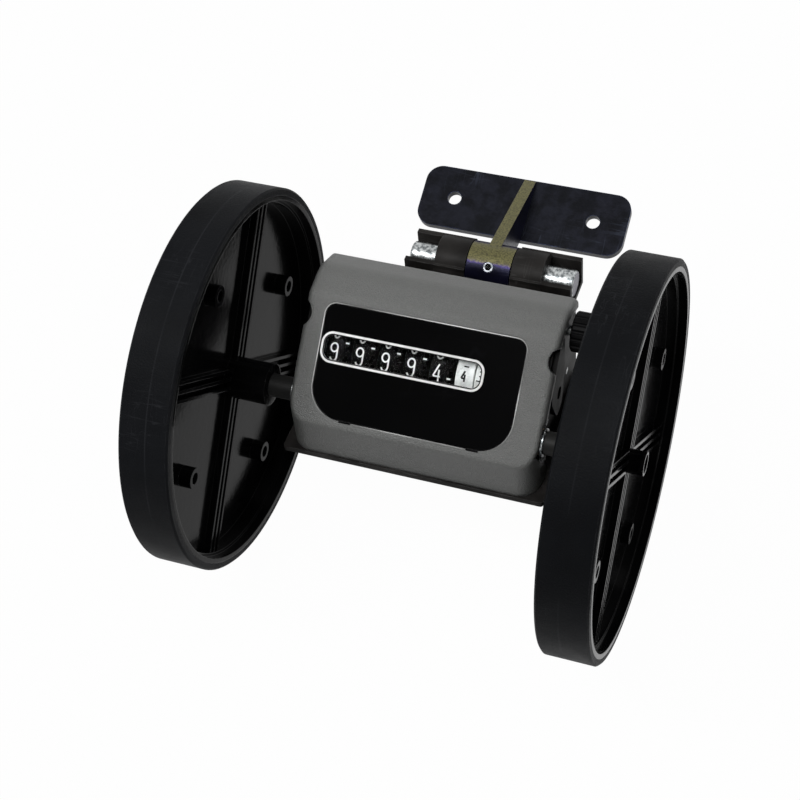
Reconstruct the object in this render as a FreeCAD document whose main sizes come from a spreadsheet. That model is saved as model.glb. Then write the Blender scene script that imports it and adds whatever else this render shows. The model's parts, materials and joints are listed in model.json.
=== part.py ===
import FreeCAD, Part
import os
import math
import Sketcher

# Cable length counter with two measuring wheels on one axle
# Row frame: origin at the middle of the two bracket holes, on the underside of the mounting plate,
# X along the axle to the right, Y back from the wheels to the bracket, Z up from the table.
# Housing frame: origin at the middle of the axle, Y back along the base plate, Z square to it.
# The housing leans back about the axle, so that the wheels and the mounting plate share one table.

doc = FreeCAD.newDocument("length_counter")

# Driving sizes in millimetres, degrees and counts
DRIVING = [
    # measuring wheels, three turns to the metre
    ("tyre_radius", "53.05"), ("wheel_width", "13.6"), ("wheel_inset", "47.4"),
    ("tyre_thickness", "2.0"), ("tyre_chamfer", "0.5"), ("rim_thickness", "1.3"),
    ("rim_step", "0.9"), ("rim_step_depth", "2.6"),
    ("web_thickness", "1.6"), ("web_depth", "6.6"), ("hub_radius", "5.8"), ("hub_reach", "5.4"),
    ("hub_tip_radius", "3.2"), ("hub_tail", "0.8"), ("boss_circle", "34.4"), ("boss_radius", "2.9"),
    ("boss_bore", "1.6"), ("boss_height_in", "3.5"), ("boss_height_out", "2.6"), ("boss_count", "4"),
    ("ridge_width", "1.0"), ("ridge_pitch", "2.5"), ("ridge_height", "2.0"), ("spoke_count", "4"),
    ("wheel_phase", "49"), ("ridge_root", "0.4"),
    # axle and what sits on it
    ("axle_radius", "2.5"), ("axle_chamfer", "0.3"), ("axle_recess", "0.8"), ("bush_wall", "0.5"),
    ("flange_radius", "3.5"), ("flange_thickness", "0.6"), ("spacer_radius", "3.2"),
    ("clip_radius", "3.8"), ("clip_thickness", "0.8"), ("clip_groove", "0.4"), ("clip_mouth", "3.6"),
    ("clip_play", "0.02"),
    # housing outline, in the housing frame
    ("cover_half", "35"), ("cover_wall", "1.2"), ("front_depth", "9.1"), ("face_foot", "1.6"),
    ("face_top_back", "16.4"), ("face_top_height", "22.2"), ("crown_back", "25"),
    ("crown_height", "24.1"), ("roof_back", "33.2"), ("roof_back_height", "20.6"),
    ("rear_back", "36"), ("rear_bend_height", "12"), ("floor_depth", "13.4"), ("corner_radius", "6"),
    ("crown_fillet", "9"), ("brow_fillet", "5"), ("rim_fillet", "1.6"),
    ("frame_wall", "2.2"), ("frame_floor", "1.6"), ("frame_front", "6"), ("rear_step", "0.6"),
    ("rear_rise", "3"), ("brow_drop", "0.2"),
    # shares of the cover's inset that bring the inner frame under each bend of the cover
    ("foot_share", "0.42"), ("brow_back_share", "0.25"), ("brow_share", "1.1"), ("crown_share", "1.15"),
    ("roof_share", "0.9"),
    # side of the housing: relief round the axle, notch at the brow and the rounded cheek
    ("relief_radius", "5.4"), ("relief_mouth", "4.59"), ("relief_low", "231"), ("relief_front", "186"),
    ("wrap_back", "0.6"), ("flange_depth", "3"), ("flange_skin", "0.72"), ("roof_band", "3.4"),
    ("notch_radius", "4"), ("notch_depth", "2.2"), ("notch_up", "29"),
    ("cheek_front", "8.2"), ("cheek_back", "21"), ("cheek_drop", "3.6"), ("cheek_fillet", "2.5"),
    ("cheek_slant", "4"), ("cheek_bend", "8.64"), ("cheek_start", "8"), ("cheek_end", "3"),
    ("flange_end", "2"), ("brow_step", "0.68"),
    # base plate, rear arm and hinge
    ("base_thickness", "1.6"), ("base_half", "37"), ("base_front", "0.5"), ("base_corner", "1"),
    ("arm_half", "25.2"), ("arm_rib", "3.6"), ("hinge_back", "67"), ("hinge_drop", "9.2"),
    ("hinge_height", "17.5"), ("hinge_radius", "4"), ("lug_radius", "7.4"), ("lug_inner", "6.9"),
    ("lug_outer", "16.2"), ("channel_half", "6.8"), ("channel_wall", "1.6"), ("channel_top", "5"),
    ("barrel_room", "1.2"), ("shaft_chamfer", "0.4"),
    # mounting bracket
    ("bracket_reach", "26"), ("plate_length", "65"), ("plate_width", "20"), ("plate_thickness", "2.5"),
    ("plate_corner", "5"), ("hole_spacing", "44"), ("hole_radius", "2.15"), ("fin_thickness", "3.6"),
    ("fin_edge", "0.4"), ("fin_end_height", "0.6"), ("fin_top", "0.3"), ("fin_bottom", "0.8"),
    ("fin_shoulder_back", "3.7"), ("fin_shoulder_up", "6.36"),
    ("barrel_radius", "7.4"), ("pin_radius", "1.5"), ("pin_bore", "0.95"), ("pin_tilt", "19"),
    ("pin_depth", "2"), ("pin_sink", "0.2"),
    # window in the sloping face, measured up the slope from its foot
    ("window_left", "29"), ("window_right", "26.8"), ("window_foot", "2.2"), ("window_top", "33.0"),
    ("window_round", "9"), ("window_nick", "3"), ("panel_gap", "0.15"), ("panel_sink", "0.5"),
    ("panel_lip", "1"), ("panel_lip_top", "0.3"), ("panel_lip_thickness", "0.8"), ("panel_rim", "2"),
    ("panel_seat", "0.05"), ("aperture_left", "28.7"), ("aperture_right", "16.8"), ("aperture_foot", "17"),
    ("aperture_top", "25.5"), ("aperture_round", "3.2"), ("aperture_line", "0.9"),
    ("aperture_proud", "0.25"), ("lens_thickness", "0.8"), ("lens_sink", "0.4"), ("lens_gap", "0.03"),
    # number wheels
    ("drum_radius", "10"), ("drum_depth", "13"), ("drum_line", "20.8"), ("drum_pitch", "7.3"),
    ("drum_first", "-25.4"), ("drum_width", "4.9"), ("ring_width", "2.3"), ("ring_gap", "0.4"),
    ("ring_groove", "1.5"),
    ("number_shaft_radius", "1.75"), ("drum_hub_radius", "3"), ("carry_module", "0.9"), ("carry_teeth", "20"),
    ("carry_gear_width", "1.1"), ("carry_disc_width", "0.7"), ("carry_disc_radius", "7.4"),
    ("carry_finger", "0.5"), ("carry_pinion_teeth", "8"), ("carry_rod_radius", "1"),
    ("carry_slope", "-20"),
    # gear train from the axle to the last number wheel
    ("axle_module", "0.3"), ("train_module", "0.4"), ("axle_teeth", "20"), ("idler_large_teeth", "30"),
    ("idler_small_teeth", "14"), ("drive_teeth", "28"), ("gear_width", "1.6"),
    ("drive_plane", "17.8"), ("axle_gear_plane", "21"), ("stud_radius", "1"), ("stud_head", "1.8"),
    ("stud_head_thickness", "0.6"), ("idler_hub_radius", "1.6"),
    # shape of every tooth, in modules
    ("tooth_rim", "1.15"), ("tooth_root", "1.3"), ("tooth_tip", "0.85"), ("tooth_flare", "0.3"),
    ("tooth_taper", "0.36"),
    # reset train from the knob to the number shaft
    ("knob_back", "26.5"), ("knob_height", "15.3"), ("knob_radius", "5.5"), ("knob_length", "6"),
    ("knob_flutes", "16"), ("flute_radius", "0.55"), ("knob_gap", "0.7"), ("knob_inner_bevel", "0.4"),
    ("knob_outer_bevel", "0.6"), ("knob_skin", "1.5"),
    ("reset_shaft_radius", "1.5"), ("reset_module", "0.7"), ("reset_teeth", "12"),
    ("reset_idler_teeth", "12"), ("shaft_gear_teeth", "16"), ("reset_plane", "26"),
    # screws under the base
    ("screw_radius", "1.3"), ("screw_head", "2.6"), ("screw_head_height", "1.3"),
    ("screw_length", "5"), ("screw_half", "25"), ("screw_front", "-3.5"), ("screw_back", "31"),
    # fits and gaps, and how far a cut runs past the metal
    ("running_fit", "0.04"), ("press_fit", "0.01"), ("free_gap", "0.3"), ("tooth_slack", "0.06"),
    ("past", "1"),
]

dims = doc.addObject("Spreadsheet::Sheet", "dims")
for row, (name, value) in enumerate(DRIVING, start=1):
    dims.set("A%d" % row, name)
    dims.set("B%d" % row, value)
    dims.setAlias("B%d" % row, name)

# Places worked out from the driving sizes
WORKED = [
    # lean of the housing that puts wheels and plate on one table
    ("hinge_reach", "=sqrt(dims.hinge_back ^ 2 + dims.hinge_drop ^ 2)"),
    ("lean", "=asin((dims.tyre_radius - dims.hinge_height) / hinge_reach) / 1deg"
             " - atan(dims.hinge_drop / dims.hinge_back) / 1deg"),
    ("axle_back", "=-dims.bracket_reach - dims.hinge_back * cos(lean) + dims.hinge_drop * sin(lean)"),
    # slope of the face that holds the window
    ("slope", "=atan((dims.face_top_height + dims.face_foot)"
              " / (dims.face_top_back + dims.front_depth)) / 1deg"),
    ("axle_up", "=dims.front_depth * cos(slope) + dims.face_foot * sin(slope)"),
    # number wheels lie under the middle of the window
    ("number_back", "=-dims.front_depth + dims.drum_line * cos(slope) + dims.drum_depth * sin(slope)"),
    ("number_high", "=-dims.face_foot + dims.drum_line * sin(slope) - dims.drum_depth * cos(slope)"),
    ("carry_span", "=dims.carry_module * (dims.carry_teeth + dims.carry_pinion_teeth) / 2"),
    ("carry_back", "=number_back + carry_span * cos(dims.carry_slope)"),
    ("carry_high", "=number_high + carry_span * sin(dims.carry_slope)"),
    # idler cluster: third corner of the triangle on the axle and the number shaft
    ("train_first", "=dims.axle_module * (dims.axle_teeth + dims.idler_large_teeth) / 2"),
    ("train_second", "=dims.train_module * (dims.idler_small_teeth + dims.drive_teeth) / 2"),
    ("train_span", "=sqrt(number_back ^ 2 + number_high ^ 2)"),
    ("train_along", "=(train_first ^ 2 - train_second ^ 2 + train_span ^ 2) / (2 * train_span)"),
    ("train_off", "=sqrt(train_first ^ 2 - train_along ^ 2)"),
    ("idler_back", "=(train_along * number_back + train_off * number_high) / train_span"),
    ("idler_high", "=(train_along * number_high - train_off * number_back) / train_span"),
    # reset idler: third corner of the triangle on the knob and the number shaft
    ("reset_first", "=dims.reset_module * (dims.reset_teeth + dims.reset_idler_teeth) / 2"),
    ("reset_second", "=dims.reset_module * (dims.reset_idler_teeth + dims.shaft_gear_teeth) / 2"),
    ("reset_run", "=number_back - dims.knob_back"),
    ("reset_fall", "=number_high - dims.knob_height"),
    ("reset_span", "=sqrt(reset_run ^ 2 + reset_fall ^ 2)"),
    ("reset_along", "=(reset_first ^ 2 - reset_second ^ 2 + reset_span ^ 2) / (2 * reset_span)"),
    ("reset_off", "=sqrt(reset_first ^ 2 - reset_along ^ 2)"),
    ("reset_back", "=dims.knob_back + (reset_along * reset_run - reset_off * reset_fall) / reset_span"),
    ("reset_high", "=dims.knob_height + (reset_along * reset_fall + reset_off * reset_run) / reset_span"),
    # directions of the meshing lines and the turn of each gear that puts tooth to gap
    ("idler_line", "=atan2(idler_high; idler_back) / 1deg"),
    ("drive_line", "=atan2(number_high - idler_high; number_back - idler_back) / 1deg"),
    ("reset_line", "=atan2(reset_high - dims.knob_height; reset_back - dims.knob_back) / 1deg"),
    ("shaft_line", "=atan2(number_high - reset_high; number_back - reset_back) / 1deg"),
    # stations along the axle, counted from the middle
    ("frame_face", "=dims.cover_half - dims.cover_wall - dims.free_gap"),
    ("frame_inner", "=frame_face - dims.frame_wall"),
    ("clip_start", "=frame_face + dims.flange_thickness + dims.free_gap"),
    ("clip_end", "=clip_start + dims.clip_thickness"),
    ("hub_start", "=dims.wheel_inset - dims.hub_reach"),
    ("wheel_end", "=dims.wheel_inset + dims.wheel_width"),
    ("web_start", "=dims.wheel_inset + dims.web_depth"),
    ("web_end", "=web_start + dims.web_thickness"),
    ("rim_radius", "=dims.tyre_radius - dims.tyre_thickness"),
    ("rim_inner", "=rim_radius - dims.rim_thickness"),
    ("knob_start", "=dims.cover_half + dims.knob_gap"),
    ("quarter_turn", "=pi / 4"),
]

calc = doc.addObject("Spreadsheet::Sheet", "calc")
for row, (name, value) in enumerate(WORKED, start=1):
    calc.set("A%d" % row, name)
    calc.set("B%d" % row, value)
    calc.setAlias("B%d" % row, name)
doc.recompute()


def value_of(name):
    sheet = dims if name in [item[0] for item in DRIVING] else calc
    return float(sheet.get(name))


NODES = []


# Helpers for bodies, sketches and features

def new_body(name):
    body = doc.addObject("PartDesign::Body", name)
    body.Label = name
    NODES.append(body)
    return body


def sketch_on(body, name, role, offset=None):
    # Sketch on one of the body's own origin planes, moved along its normal by an expression
    sketch = body.newObject("Sketcher::SketchObject", name)
    plane = [item for item in body.Origin.OriginFeatures if item.Role == role][0]
    sketch.AttachmentSupport = [(plane, "")]
    sketch.MapMode = "FlatFace"
    if offset is not None:
        sketch.setExpression("AttachmentOffset.Base.z", offset)
    return sketch


def tie_point(sketch, geometry, position, across, up):
    # Hold one point of the geometry by its two distances from the origin
    spot = sketch.getPoint(geometry, position)
    for kind, expression, now in (("DistanceX", across, spot.x), ("DistanceY", up, spot.y)):
        if abs(now) < 1e-6:
            now = 1.0
        index = sketch.addConstraint(Sketcher.Constraint(kind, -1, 1, geometry, position, now))
        sketch.setExpression("Constraints[%d]" % index, expression)


def outline(sketch, corners):
    # Closed run of straight edges, each corner a pair of expressions
    first = sketch.GeometryCount
    count = len(corners)
    turns = [2.0 * math.pi * number / count for number in range(count + 1)]
    spots = [FreeCAD.Vector(math.cos(turn), math.sin(turn), 0) for turn in turns]
    for number in range(count):
        sketch.addGeometry(Part.LineSegment(spots[number], spots[number + 1]), False)
    for number in range(count):
        following = first + (number + 1) % count
        sketch.addConstraint(Sketcher.Constraint("Coincident", first + number, 2, following, 1))
    for number, (across, up) in enumerate(corners):
        tie_point(sketch, first + number, 1, across, up)


def disc(sketch, across, up, radius):
    # Circle whose centre and radius are expressions
    circle = Part.Circle(FreeCAD.Vector(0, 0, 0), FreeCAD.Vector(0, 0, 1), 1.0)
    number = sketch.addGeometry(circle, False)
    tie_point(sketch, number, 3, across, up)
    index = sketch.addConstraint(Sketcher.Constraint("Radius", number, 1.0))
    sketch.setExpression("Constraints[%d]" % index, radius)


def pad(body, sketch, length, middle=False, backwards=False):
    feature = body.newObject("PartDesign::Pad", sketch.Name + "_pad")
    feature.Profile = sketch
    feature.Midplane = middle
    feature.Reversed = backwards
    feature.setExpression("Length", length)
    sketch.Visibility = False
    return feature


def cut(body, sketch, length=None, middle=False, backwards=False):
    # Pocket that has to remove material; without a length it goes right through both ways
    doc.recompute()
    before = body.Shape.Volume
    feature = body.newObject("PartDesign::Pocket", sketch.Name + "_cut")
    feature.Profile = sketch
    feature.Midplane = middle
    feature.Reversed = backwards
    if length is None:
        feature.Type = "ThroughAll"
        feature.Midplane = True
    else:
        feature.setExpression("Length", length)
    doc.recompute()
    if body.Shape.Volume > before - 1e-6:
        raise RuntimeError("%s: %s removes nothing" % (body.Label, feature.Name))
    return feature


def turn_about_x(body, name, corners):
    # Profile in the XY plane, its first number along the axis, its second the radius
    sketch = sketch_on(body, name, "XY_Plane")
    outline(sketch, corners)
    feature = body.newObject("PartDesign::Revolution", name + "_turned")
    feature.Profile = sketch
    feature.ReferenceAxis = (sketch, ["H_Axis"])
    feature.Angle = 360
    return feature


def repeat_about_x(body, feature, count):
    pattern = body.newObject("PartDesign::PolarPattern", feature.Name + "_ring")
    pattern.Originals = [feature]
    axis = [item for item in body.Origin.OriginFeatures if item.Role == "X_Axis"][0]
    pattern.Axis = (axis, [""])
    pattern.Angle = 360
    pattern.setExpression("Occurrences", count)
    body.Tip = pattern
    return pattern


def round_edges(body, name, radius, wanted):
    # Fillet of the edges that the test picks out of the body's present shape
    doc.recompute()
    base = body.Tip
    picked = ["Edge%d" % number for number, edge in enumerate(base.Shape.Edges, start=1) if wanted(edge)]
    if not picked:
        raise RuntimeError("%s: no edge found for %s" % (body.Label, name))
    feature = body.newObject("PartDesign::Fillet", name)
    feature.Base = (base, picked)
    feature.setExpression("Radius", radius)
    doc.recompute()
    return feature


def runs_along(edge, axis):
    # True for a straight edge along the given unit vector
    if not isinstance(edge.Curve, Part.Line):
        return False
    return abs(abs(edge.Curve.Direction.dot(axis)) - 1.0) < 1e-6


ALONG_X = FreeCAD.Vector(1, 0, 0)
ALONG_Z = FreeCAD.Vector(0, 0, 1)


def on_slope(up, deep):
    # Point of the side view by its way up the sloping face and its depth under it
    return ("-dims.front_depth + (%s) * cos(calc.slope) + (%s) * sin(calc.slope)" % (up, deep),
            "-dims.face_foot + (%s) * sin(calc.slope) - (%s) * cos(calc.slope)" % (up, deep))


def corner_near(back, height, reach=0.2):
    # Picks an edge along X that passes the given point of the side view
    def wanted(edge):
        if not runs_along(edge, ALONG_X):
            return False
        spot = edge.Vertexes[0].Point
        return math.hypot(spot.y - back, spot.z - height) < reach
    return wanted


def seat(body, back="0", high="0", turned="0"):
    # Place a piece by its spot in the housing frame and its turn about X there
    middle = "calc.axle_back + (%s) * cos(calc.lean) + (%s) * sin(calc.lean)" % (back, high)
    above = "dims.tyre_radius - (%s) * sin(calc.lean) + (%s) * cos(calc.lean)" % (back, high)
    turn = "rotation(vector(1; 0; 0); %s - calc.lean)" % turned
    body.setExpression("Placement", "placement(vector(0; %s; %s); %s)" % (middle, above, turn))


def seat_on_bracket(body, back, high, turned="0"):
    # Place a piece by its spot in the row frame and its turn about X there
    turn = "rotation(vector(1; 0; 0); %s)" % turned
    body.setExpression("Placement", "placement(vector(0; %s; %s); %s)" % (back, high, turn))


def add_teeth(body, start, width, module, teeth, slack="dims.tooth_slack"):
    # Straight-flanked teeth on a rim of the root radius, from start along X
    blank = sketch_on(body, "rim", "YZ_Plane", start)
    disc(blank, "0", "0", "%s * (%s / 2 - dims.tooth_rim)" % (module, teeth))
    pad(body, blank, width)
    tooth = sketch_on(body, "tooth", "YZ_Plane", start)
    root = "%s * (%s / 2 - dims.tooth_root)" % (module, teeth)
    pitch = "%s * %s / 2" % (module, teeth)
    tip = "%s * (%s / 2 + dims.tooth_tip)" % (module, teeth)
    half_root = "%s * (calc.quarter_turn + dims.tooth_flare) - %s" % (module, slack)
    half_pitch = "%s * calc.quarter_turn - %s" % (module, slack)
    half_tip = "%s * (calc.quarter_turn - dims.tooth_taper) - %s" % (module, slack)
    outline(tooth, [(root, "-(%s)" % half_root), (pitch, "-(%s)" % half_pitch), (tip, "-(%s)" % half_tip),
                    (tip, half_tip), (pitch, half_pitch), (root, half_root)])
    one = pad(body, tooth, width)
    return repeat_about_x(body, one, teeth)


def bore(body, radius, start="-calc.wheel_end", length="2 * calc.wheel_end"):
    hole = sketch_on(body, "bore", "YZ_Plane", start)
    disc(hole, "0", "0", radius)
    cut(body, hole, length, backwards=True)


def meshing_turn(line, teeth_here, turn_there, teeth_there):
    # Turn in degrees of a gear whose gap meets the tooth of the gear at the other end of the line.
    # line is the direction, in degrees, from the other gear to this one.
    share = "((%s) - (%s)) * %s / 360" % (line, turn_there, teeth_there)
    return "(%s) + 180 - (0.5 - %s) * 360 / %s" % (line, share, teeth_here)


# Measuring wheels: rim, web, hub, ridged spokes and hollow bosses on both faces

def make_wheel(name, side):
    body = new_body(name)
    out = "%d * " % side
    inner_hub = out + "calc.hub_start"
    outer_hub = out + "(calc.wheel_end + dims.hub_tail)"
    step_radius = "calc.rim_inner - dims.rim_step"
    turn_about_x(body, "section", [
        (inner_hub, "dims.axle_radius + dims.press_fit"), (inner_hub, "dims.hub_radius"),
        (out + "calc.web_start", "dims.hub_radius"), (out + "calc.web_start", step_radius),
        (out + "(dims.wheel_inset + dims.rim_step_depth)", step_radius),
        (out + "(dims.wheel_inset + dims.rim_step_depth)", "calc.rim_inner"),
        (out + "dims.wheel_inset", "calc.rim_inner"), (out + "dims.wheel_inset", "calc.rim_radius"),
        (out + "calc.wheel_end", "calc.rim_radius"), (out + "calc.wheel_end", "calc.rim_inner"),
        (out + "(calc.wheel_end - dims.rim_step_depth)", "calc.rim_inner"),
        (out + "(calc.wheel_end - dims.rim_step_depth)", step_radius),
        (out + "calc.web_end", step_radius), (out + "calc.web_end", "dims.hub_tip_radius"),
        (outer_hub, "dims.hub_tip_radius"), (outer_hub, "dims.axle_radius + dims.press_fit")])
    ridge_start = out + "(calc.web_start - dims.ridge_height)"
    ridge_span = "dims.web_thickness + 2 * dims.ridge_height"
    ridges = sketch_on(body, "ridges", "YZ_Plane", ridge_start)
    for lane in (-1, 0, 1):
        low = "%d * dims.ridge_pitch - dims.ridge_width / 2" % lane
        high = "%d * dims.ridge_pitch + dims.ridge_width / 2" % lane
        near = "dims.hub_tip_radius - dims.ridge_root"
        far = "calc.rim_inner - dims.rim_step + dims.ridge_root"
        outline(ridges, [(near, low), (far, low), (far, high), (near, high)])
    spoke = pad(body, ridges, ridge_span, backwards=side < 0)
    repeat_about_x(body, spoke, "dims.spoke_count")
    boss_start = out + "(calc.web_start - dims.boss_height_in)"
    boss_span = "dims.boss_height_in + dims.web_thickness + dims.boss_height_out"
    boss = sketch_on(body, "boss", "YZ_Plane", boss_start)
    middle = "dims.boss_circle * cos(180 / dims.boss_count)"
    offset = "dims.boss_circle * sin(180 / dims.boss_count)"
    disc(boss, middle, offset, "dims.boss_radius")
    stub = pad(body, boss, boss_span, backwards=side < 0)
    repeat_about_x(body, stub, "dims.boss_count")
    for label, start, depth in (("well_in", boss_start, "dims.boss_height_in"),
                                ("well_out", out + "(calc.web_end + dims.boss_height_out)",
                                 "dims.boss_height_out")):
        well = sketch_on(body, label, "YZ_Plane", start)
        disc(well, middle, offset, "dims.boss_bore")
        towards_web = (label == "well_in") == (side > 0)
        hole = cut(body, well, depth, backwards=towards_web)
        repeat_about_x(body, hole, "dims.boss_count")
    seat(body, turned="dims.wheel_phase")


def make_tyre(name, side):
    body = new_body(name)
    out = "%d * " % side
    shoulder = "dims.tyre_radius - dims.tyre_chamfer"
    turn_about_x(body, "section", [
        (out + "dims.wheel_inset", "calc.rim_radius"), (out + "dims.wheel_inset", shoulder),
        (out + "(dims.wheel_inset + dims.tyre_chamfer)", "dims.tyre_radius"),
        (out + "(calc.wheel_end - dims.tyre_chamfer)", "dims.tyre_radius"),
        (out + "calc.wheel_end", shoulder), (out + "calc.wheel_end", "calc.rim_radius")])
    seat(body)


for side, word in ((-1, "left"), (1, "right")):
    make_wheel("wheel_%s" % word, side)
    make_tyre("tyre_%s" % word, side)


# Axle with its clips, spacers and bushes

axle = new_body("axle")
axle_end = "calc.wheel_end + dims.hub_tail - dims.axle_recess"
axle_tip = "dims.axle_radius - dims.axle_chamfer"
clip_seat = "dims.axle_radius - dims.clip_groove"
turn_about_x(axle, "section", [
    ("-(%s)" % axle_end, "0"), ("-(%s)" % axle_end, axle_tip),
    ("-(%s) + dims.axle_chamfer" % axle_end, "dims.axle_radius"),
    ("-calc.clip_end", "dims.axle_radius"), ("-calc.clip_end", clip_seat),
    ("-calc.clip_start", clip_seat), ("-calc.clip_start", "dims.axle_radius"),
    ("calc.clip_start", "dims.axle_radius"), ("calc.clip_start", clip_seat),
    ("calc.clip_end", clip_seat), ("calc.clip_end", "dims.axle_radius"),
    ("%s - dims.axle_chamfer" % axle_end, "dims.axle_radius"), (axle_end, axle_tip), (axle_end, "0")])
seat(axle)


def make_ring(name, start, end, inner, outer, back="0", high="0", turned="0"):
    body = new_body(name)
    turn_about_x(body, "section", [(start, inner), (start, outer), (end, outer), (end, inner)])
    seat(body, back, high, turned)
    return body


for side, word in ((-1, "left"), (1, "right")):
    out = "%d * " % side
    make_ring("spacer_%s" % word, out + "(calc.clip_end + dims.free_gap / 2)", out + "calc.hub_start",
              "dims.axle_radius + dims.press_fit", "dims.spacer_radius")

    clip = make_ring("axle_clip_%s" % word, out + "(calc.clip_start + dims.clip_play)",
                     out + "(calc.clip_end - dims.clip_play)", clip_seat, "dims.clip_radius")
    mouth = sketch_on(clip, "mouth", "YZ_Plane", out + "calc.clip_start")
    mouth_end = "-dims.clip_radius - dims.past"
    outline(mouth, [("-dims.clip_mouth / 2", "0"), ("dims.clip_mouth / 2", "0"),
                    ("dims.clip_mouth / 2", mouth_end), ("-dims.clip_mouth / 2", mouth_end)])
    cut(clip, mouth, "dims.clip_thickness", backwards=side > 0)

    bush = new_body("axle_bush_%s" % word)
    bush_outer = "dims.axle_radius + dims.bush_wall"
    bush_bore = "dims.axle_radius + dims.running_fit"
    turn_about_x(bush, "section", [
        (out + "calc.frame_inner", bush_bore), (out + "calc.frame_inner", bush_outer),
        (out + "calc.frame_face", bush_outer), (out + "calc.frame_face", "dims.flange_radius"),
        (out + "(calc.frame_face + dims.flange_thickness)", "dims.flange_radius"),
        (out + "(calc.frame_face + dims.flange_thickness)", bush_bore)])
    seat(bush)


# Base plate with its rear arm, hinge channel and lugs

base = new_body("base_frame")
base_low = "-dims.floor_depth - dims.base_thickness"
sheet_plan = sketch_on(base, "plan", "XY_Plane", base_low)
arm_end = "dims.hinge_back + dims.channel_half"
base_nose = "-dims.front_depth - dims.base_front"
outline(sheet_plan, [
    ("-dims.base_half", base_nose), ("dims.base_half", base_nose), ("dims.base_half", "dims.rear_back"),
    ("dims.arm_half", "dims.rear_back + dims.base_half - dims.arm_half"), ("dims.arm_half", arm_end),
    ("-dims.arm_half", arm_end), ("-dims.arm_half", "dims.rear_back + dims.base_half - dims.arm_half"),
    ("-dims.base_half", "dims.rear_back")])
pad(base, sheet_plan, "dims.base_thickness")
half_width = value_of("base_half")
nose_line = -value_of("front_depth") - value_of("base_front")
round_edges(base, "base_corners", "dims.base_corner",
            lambda edge: runs_along(edge, ALONG_Z) and abs(edge.Vertexes[0].Point.y - nose_line) < 0.1
            and abs(abs(edge.Vertexes[0].Point.x) - half_width) < 0.1)
ribs = sketch_on(base, "ribs", "XY_Plane", "-dims.floor_depth")
rib_front = "dims.rear_back + dims.base_half - dims.arm_half"
front_wall = "dims.hinge_back - dims.channel_half"
for side in (-1, 1):
    outline(ribs, [("%d * dims.arm_half" % side, rib_front), ("%d * dims.arm_half" % side, front_wall),
                   ("%d * (dims.arm_half - dims.channel_wall)" % side, front_wall),
                   ("%d * (dims.arm_half - dims.channel_wall)" % side, rib_front)])
pad(base, ribs, "dims.arm_rib")
walls = sketch_on(base, "walls", "XY_Plane", "-dims.floor_depth")
for low, high in ((front_wall, front_wall + " + dims.channel_wall"),
                  (arm_end + " - dims.channel_wall", arm_end)):
    outline(walls, [("-dims.arm_half", low), ("dims.arm_half", low), ("dims.arm_half", high),
                    ("-dims.arm_half", high)])
pad(base, walls, "dims.floor_depth - dims.channel_top")
for side, word in ((-1, "left"), (1, "right")):
    lug = sketch_on(base, "lug_" + word, "YZ_Plane", "%d * dims.lug_inner" % side)
    disc(lug, "dims.hinge_back", "-dims.hinge_drop", "dims.lug_radius")
    pad(base, lug, "dims.lug_outer - dims.lug_inner", backwards=side < 0)
under = sketch_on(base, "under", "XY_Plane", base_low)
under_side = "dims.arm_half + dims.past"
under_front = front_wall + " - dims.past"
under_back = arm_end + " + dims.past"
outline(under, [("-(%s)" % under_side, under_front), (under_side, under_front),
                (under_side, under_back), ("-(%s)" % under_side, under_back)])
cut(base, under, "2 * dims.lug_radius")
notch = sketch_on(base, "notch", "XY_Plane", base_low)
notch_front = "dims.hinge_back - dims.lug_radius - dims.barrel_room"
outline(notch, [("-dims.lug_inner", notch_front), ("dims.lug_inner", notch_front),
                ("dims.lug_inner", under_back), ("-dims.lug_inner", under_back)])
cut(base, notch)
shaft_way = sketch_on(base, "shaft_way", "YZ_Plane")
disc(shaft_way, "dims.hinge_back", "-dims.hinge_drop", "dims.hinge_radius + dims.running_fit")
cut(base, shaft_way)
holes = sketch_on(base, "screw_holes", "XY_Plane", base_low)
for across in ("-dims.screw_half", "dims.screw_half"):
    for along in ("dims.screw_front", "dims.screw_back"):
        disc(holes, across, along, "dims.screw_radius + dims.free_gap / 2")
cut(base, holes)
seat(base)


# Inner frame: side walls that carry every shaft, rear wall and floor

frame = new_body("inner_frame")
inset = "dims.cover_wall + dims.free_gap"
side_profile = sketch_on(frame, "side", "YZ_Plane", "-calc.frame_face")
outline(side_profile, [
    ("-dims.front_depth + %s" % inset, "-dims.floor_depth"),
    ("-dims.front_depth + %s" % inset, "-dims.face_foot - (%s) * dims.foot_share" % inset),
    ("dims.face_top_back + (%s) * dims.brow_back_share" % inset,
     "dims.face_top_height - (%s) * dims.brow_share - dims.brow_drop" % inset),
    ("dims.crown_back", "dims.crown_height - (%s) * dims.crown_share" % inset),
    ("dims.roof_back - dims.rear_step", "dims.roof_back_height - (%s) * dims.roof_share" % inset),
    ("dims.rear_back - dims.rear_step", "dims.rear_bend_height + dims.rear_rise"),
    ("dims.rear_back", "dims.rear_bend_height"), ("dims.rear_back", "-dims.floor_depth")])
pad(frame, side_profile, "2 * calc.frame_face")
frame_nose = -value_of("front_depth") + value_of("cover_wall") + value_of("free_gap")
round_edges(frame, "front_corners", "dims.corner_radius - dims.cover_wall - dims.free_gap",
            lambda edge: runs_along(edge, ALONG_Z) and abs(edge.Vertexes[0].Point.y - frame_nose) < 0.1)
hollow = sketch_on(frame, "hollow", "YZ_Plane", "-calc.frame_inner")
outline(hollow, [
    ("-dims.front_depth - dims.past", "-dims.floor_depth + dims.frame_floor"),
    ("dims.rear_back - dims.frame_wall", "-dims.floor_depth + dims.frame_floor"),
    ("dims.rear_back - dims.frame_wall", "dims.crown_height + dims.past"),
    ("-dims.front_depth - dims.past", "dims.crown_height + dims.past")])
cut(frame, hollow, "2 * calc.frame_inner", backwards=True)
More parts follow.
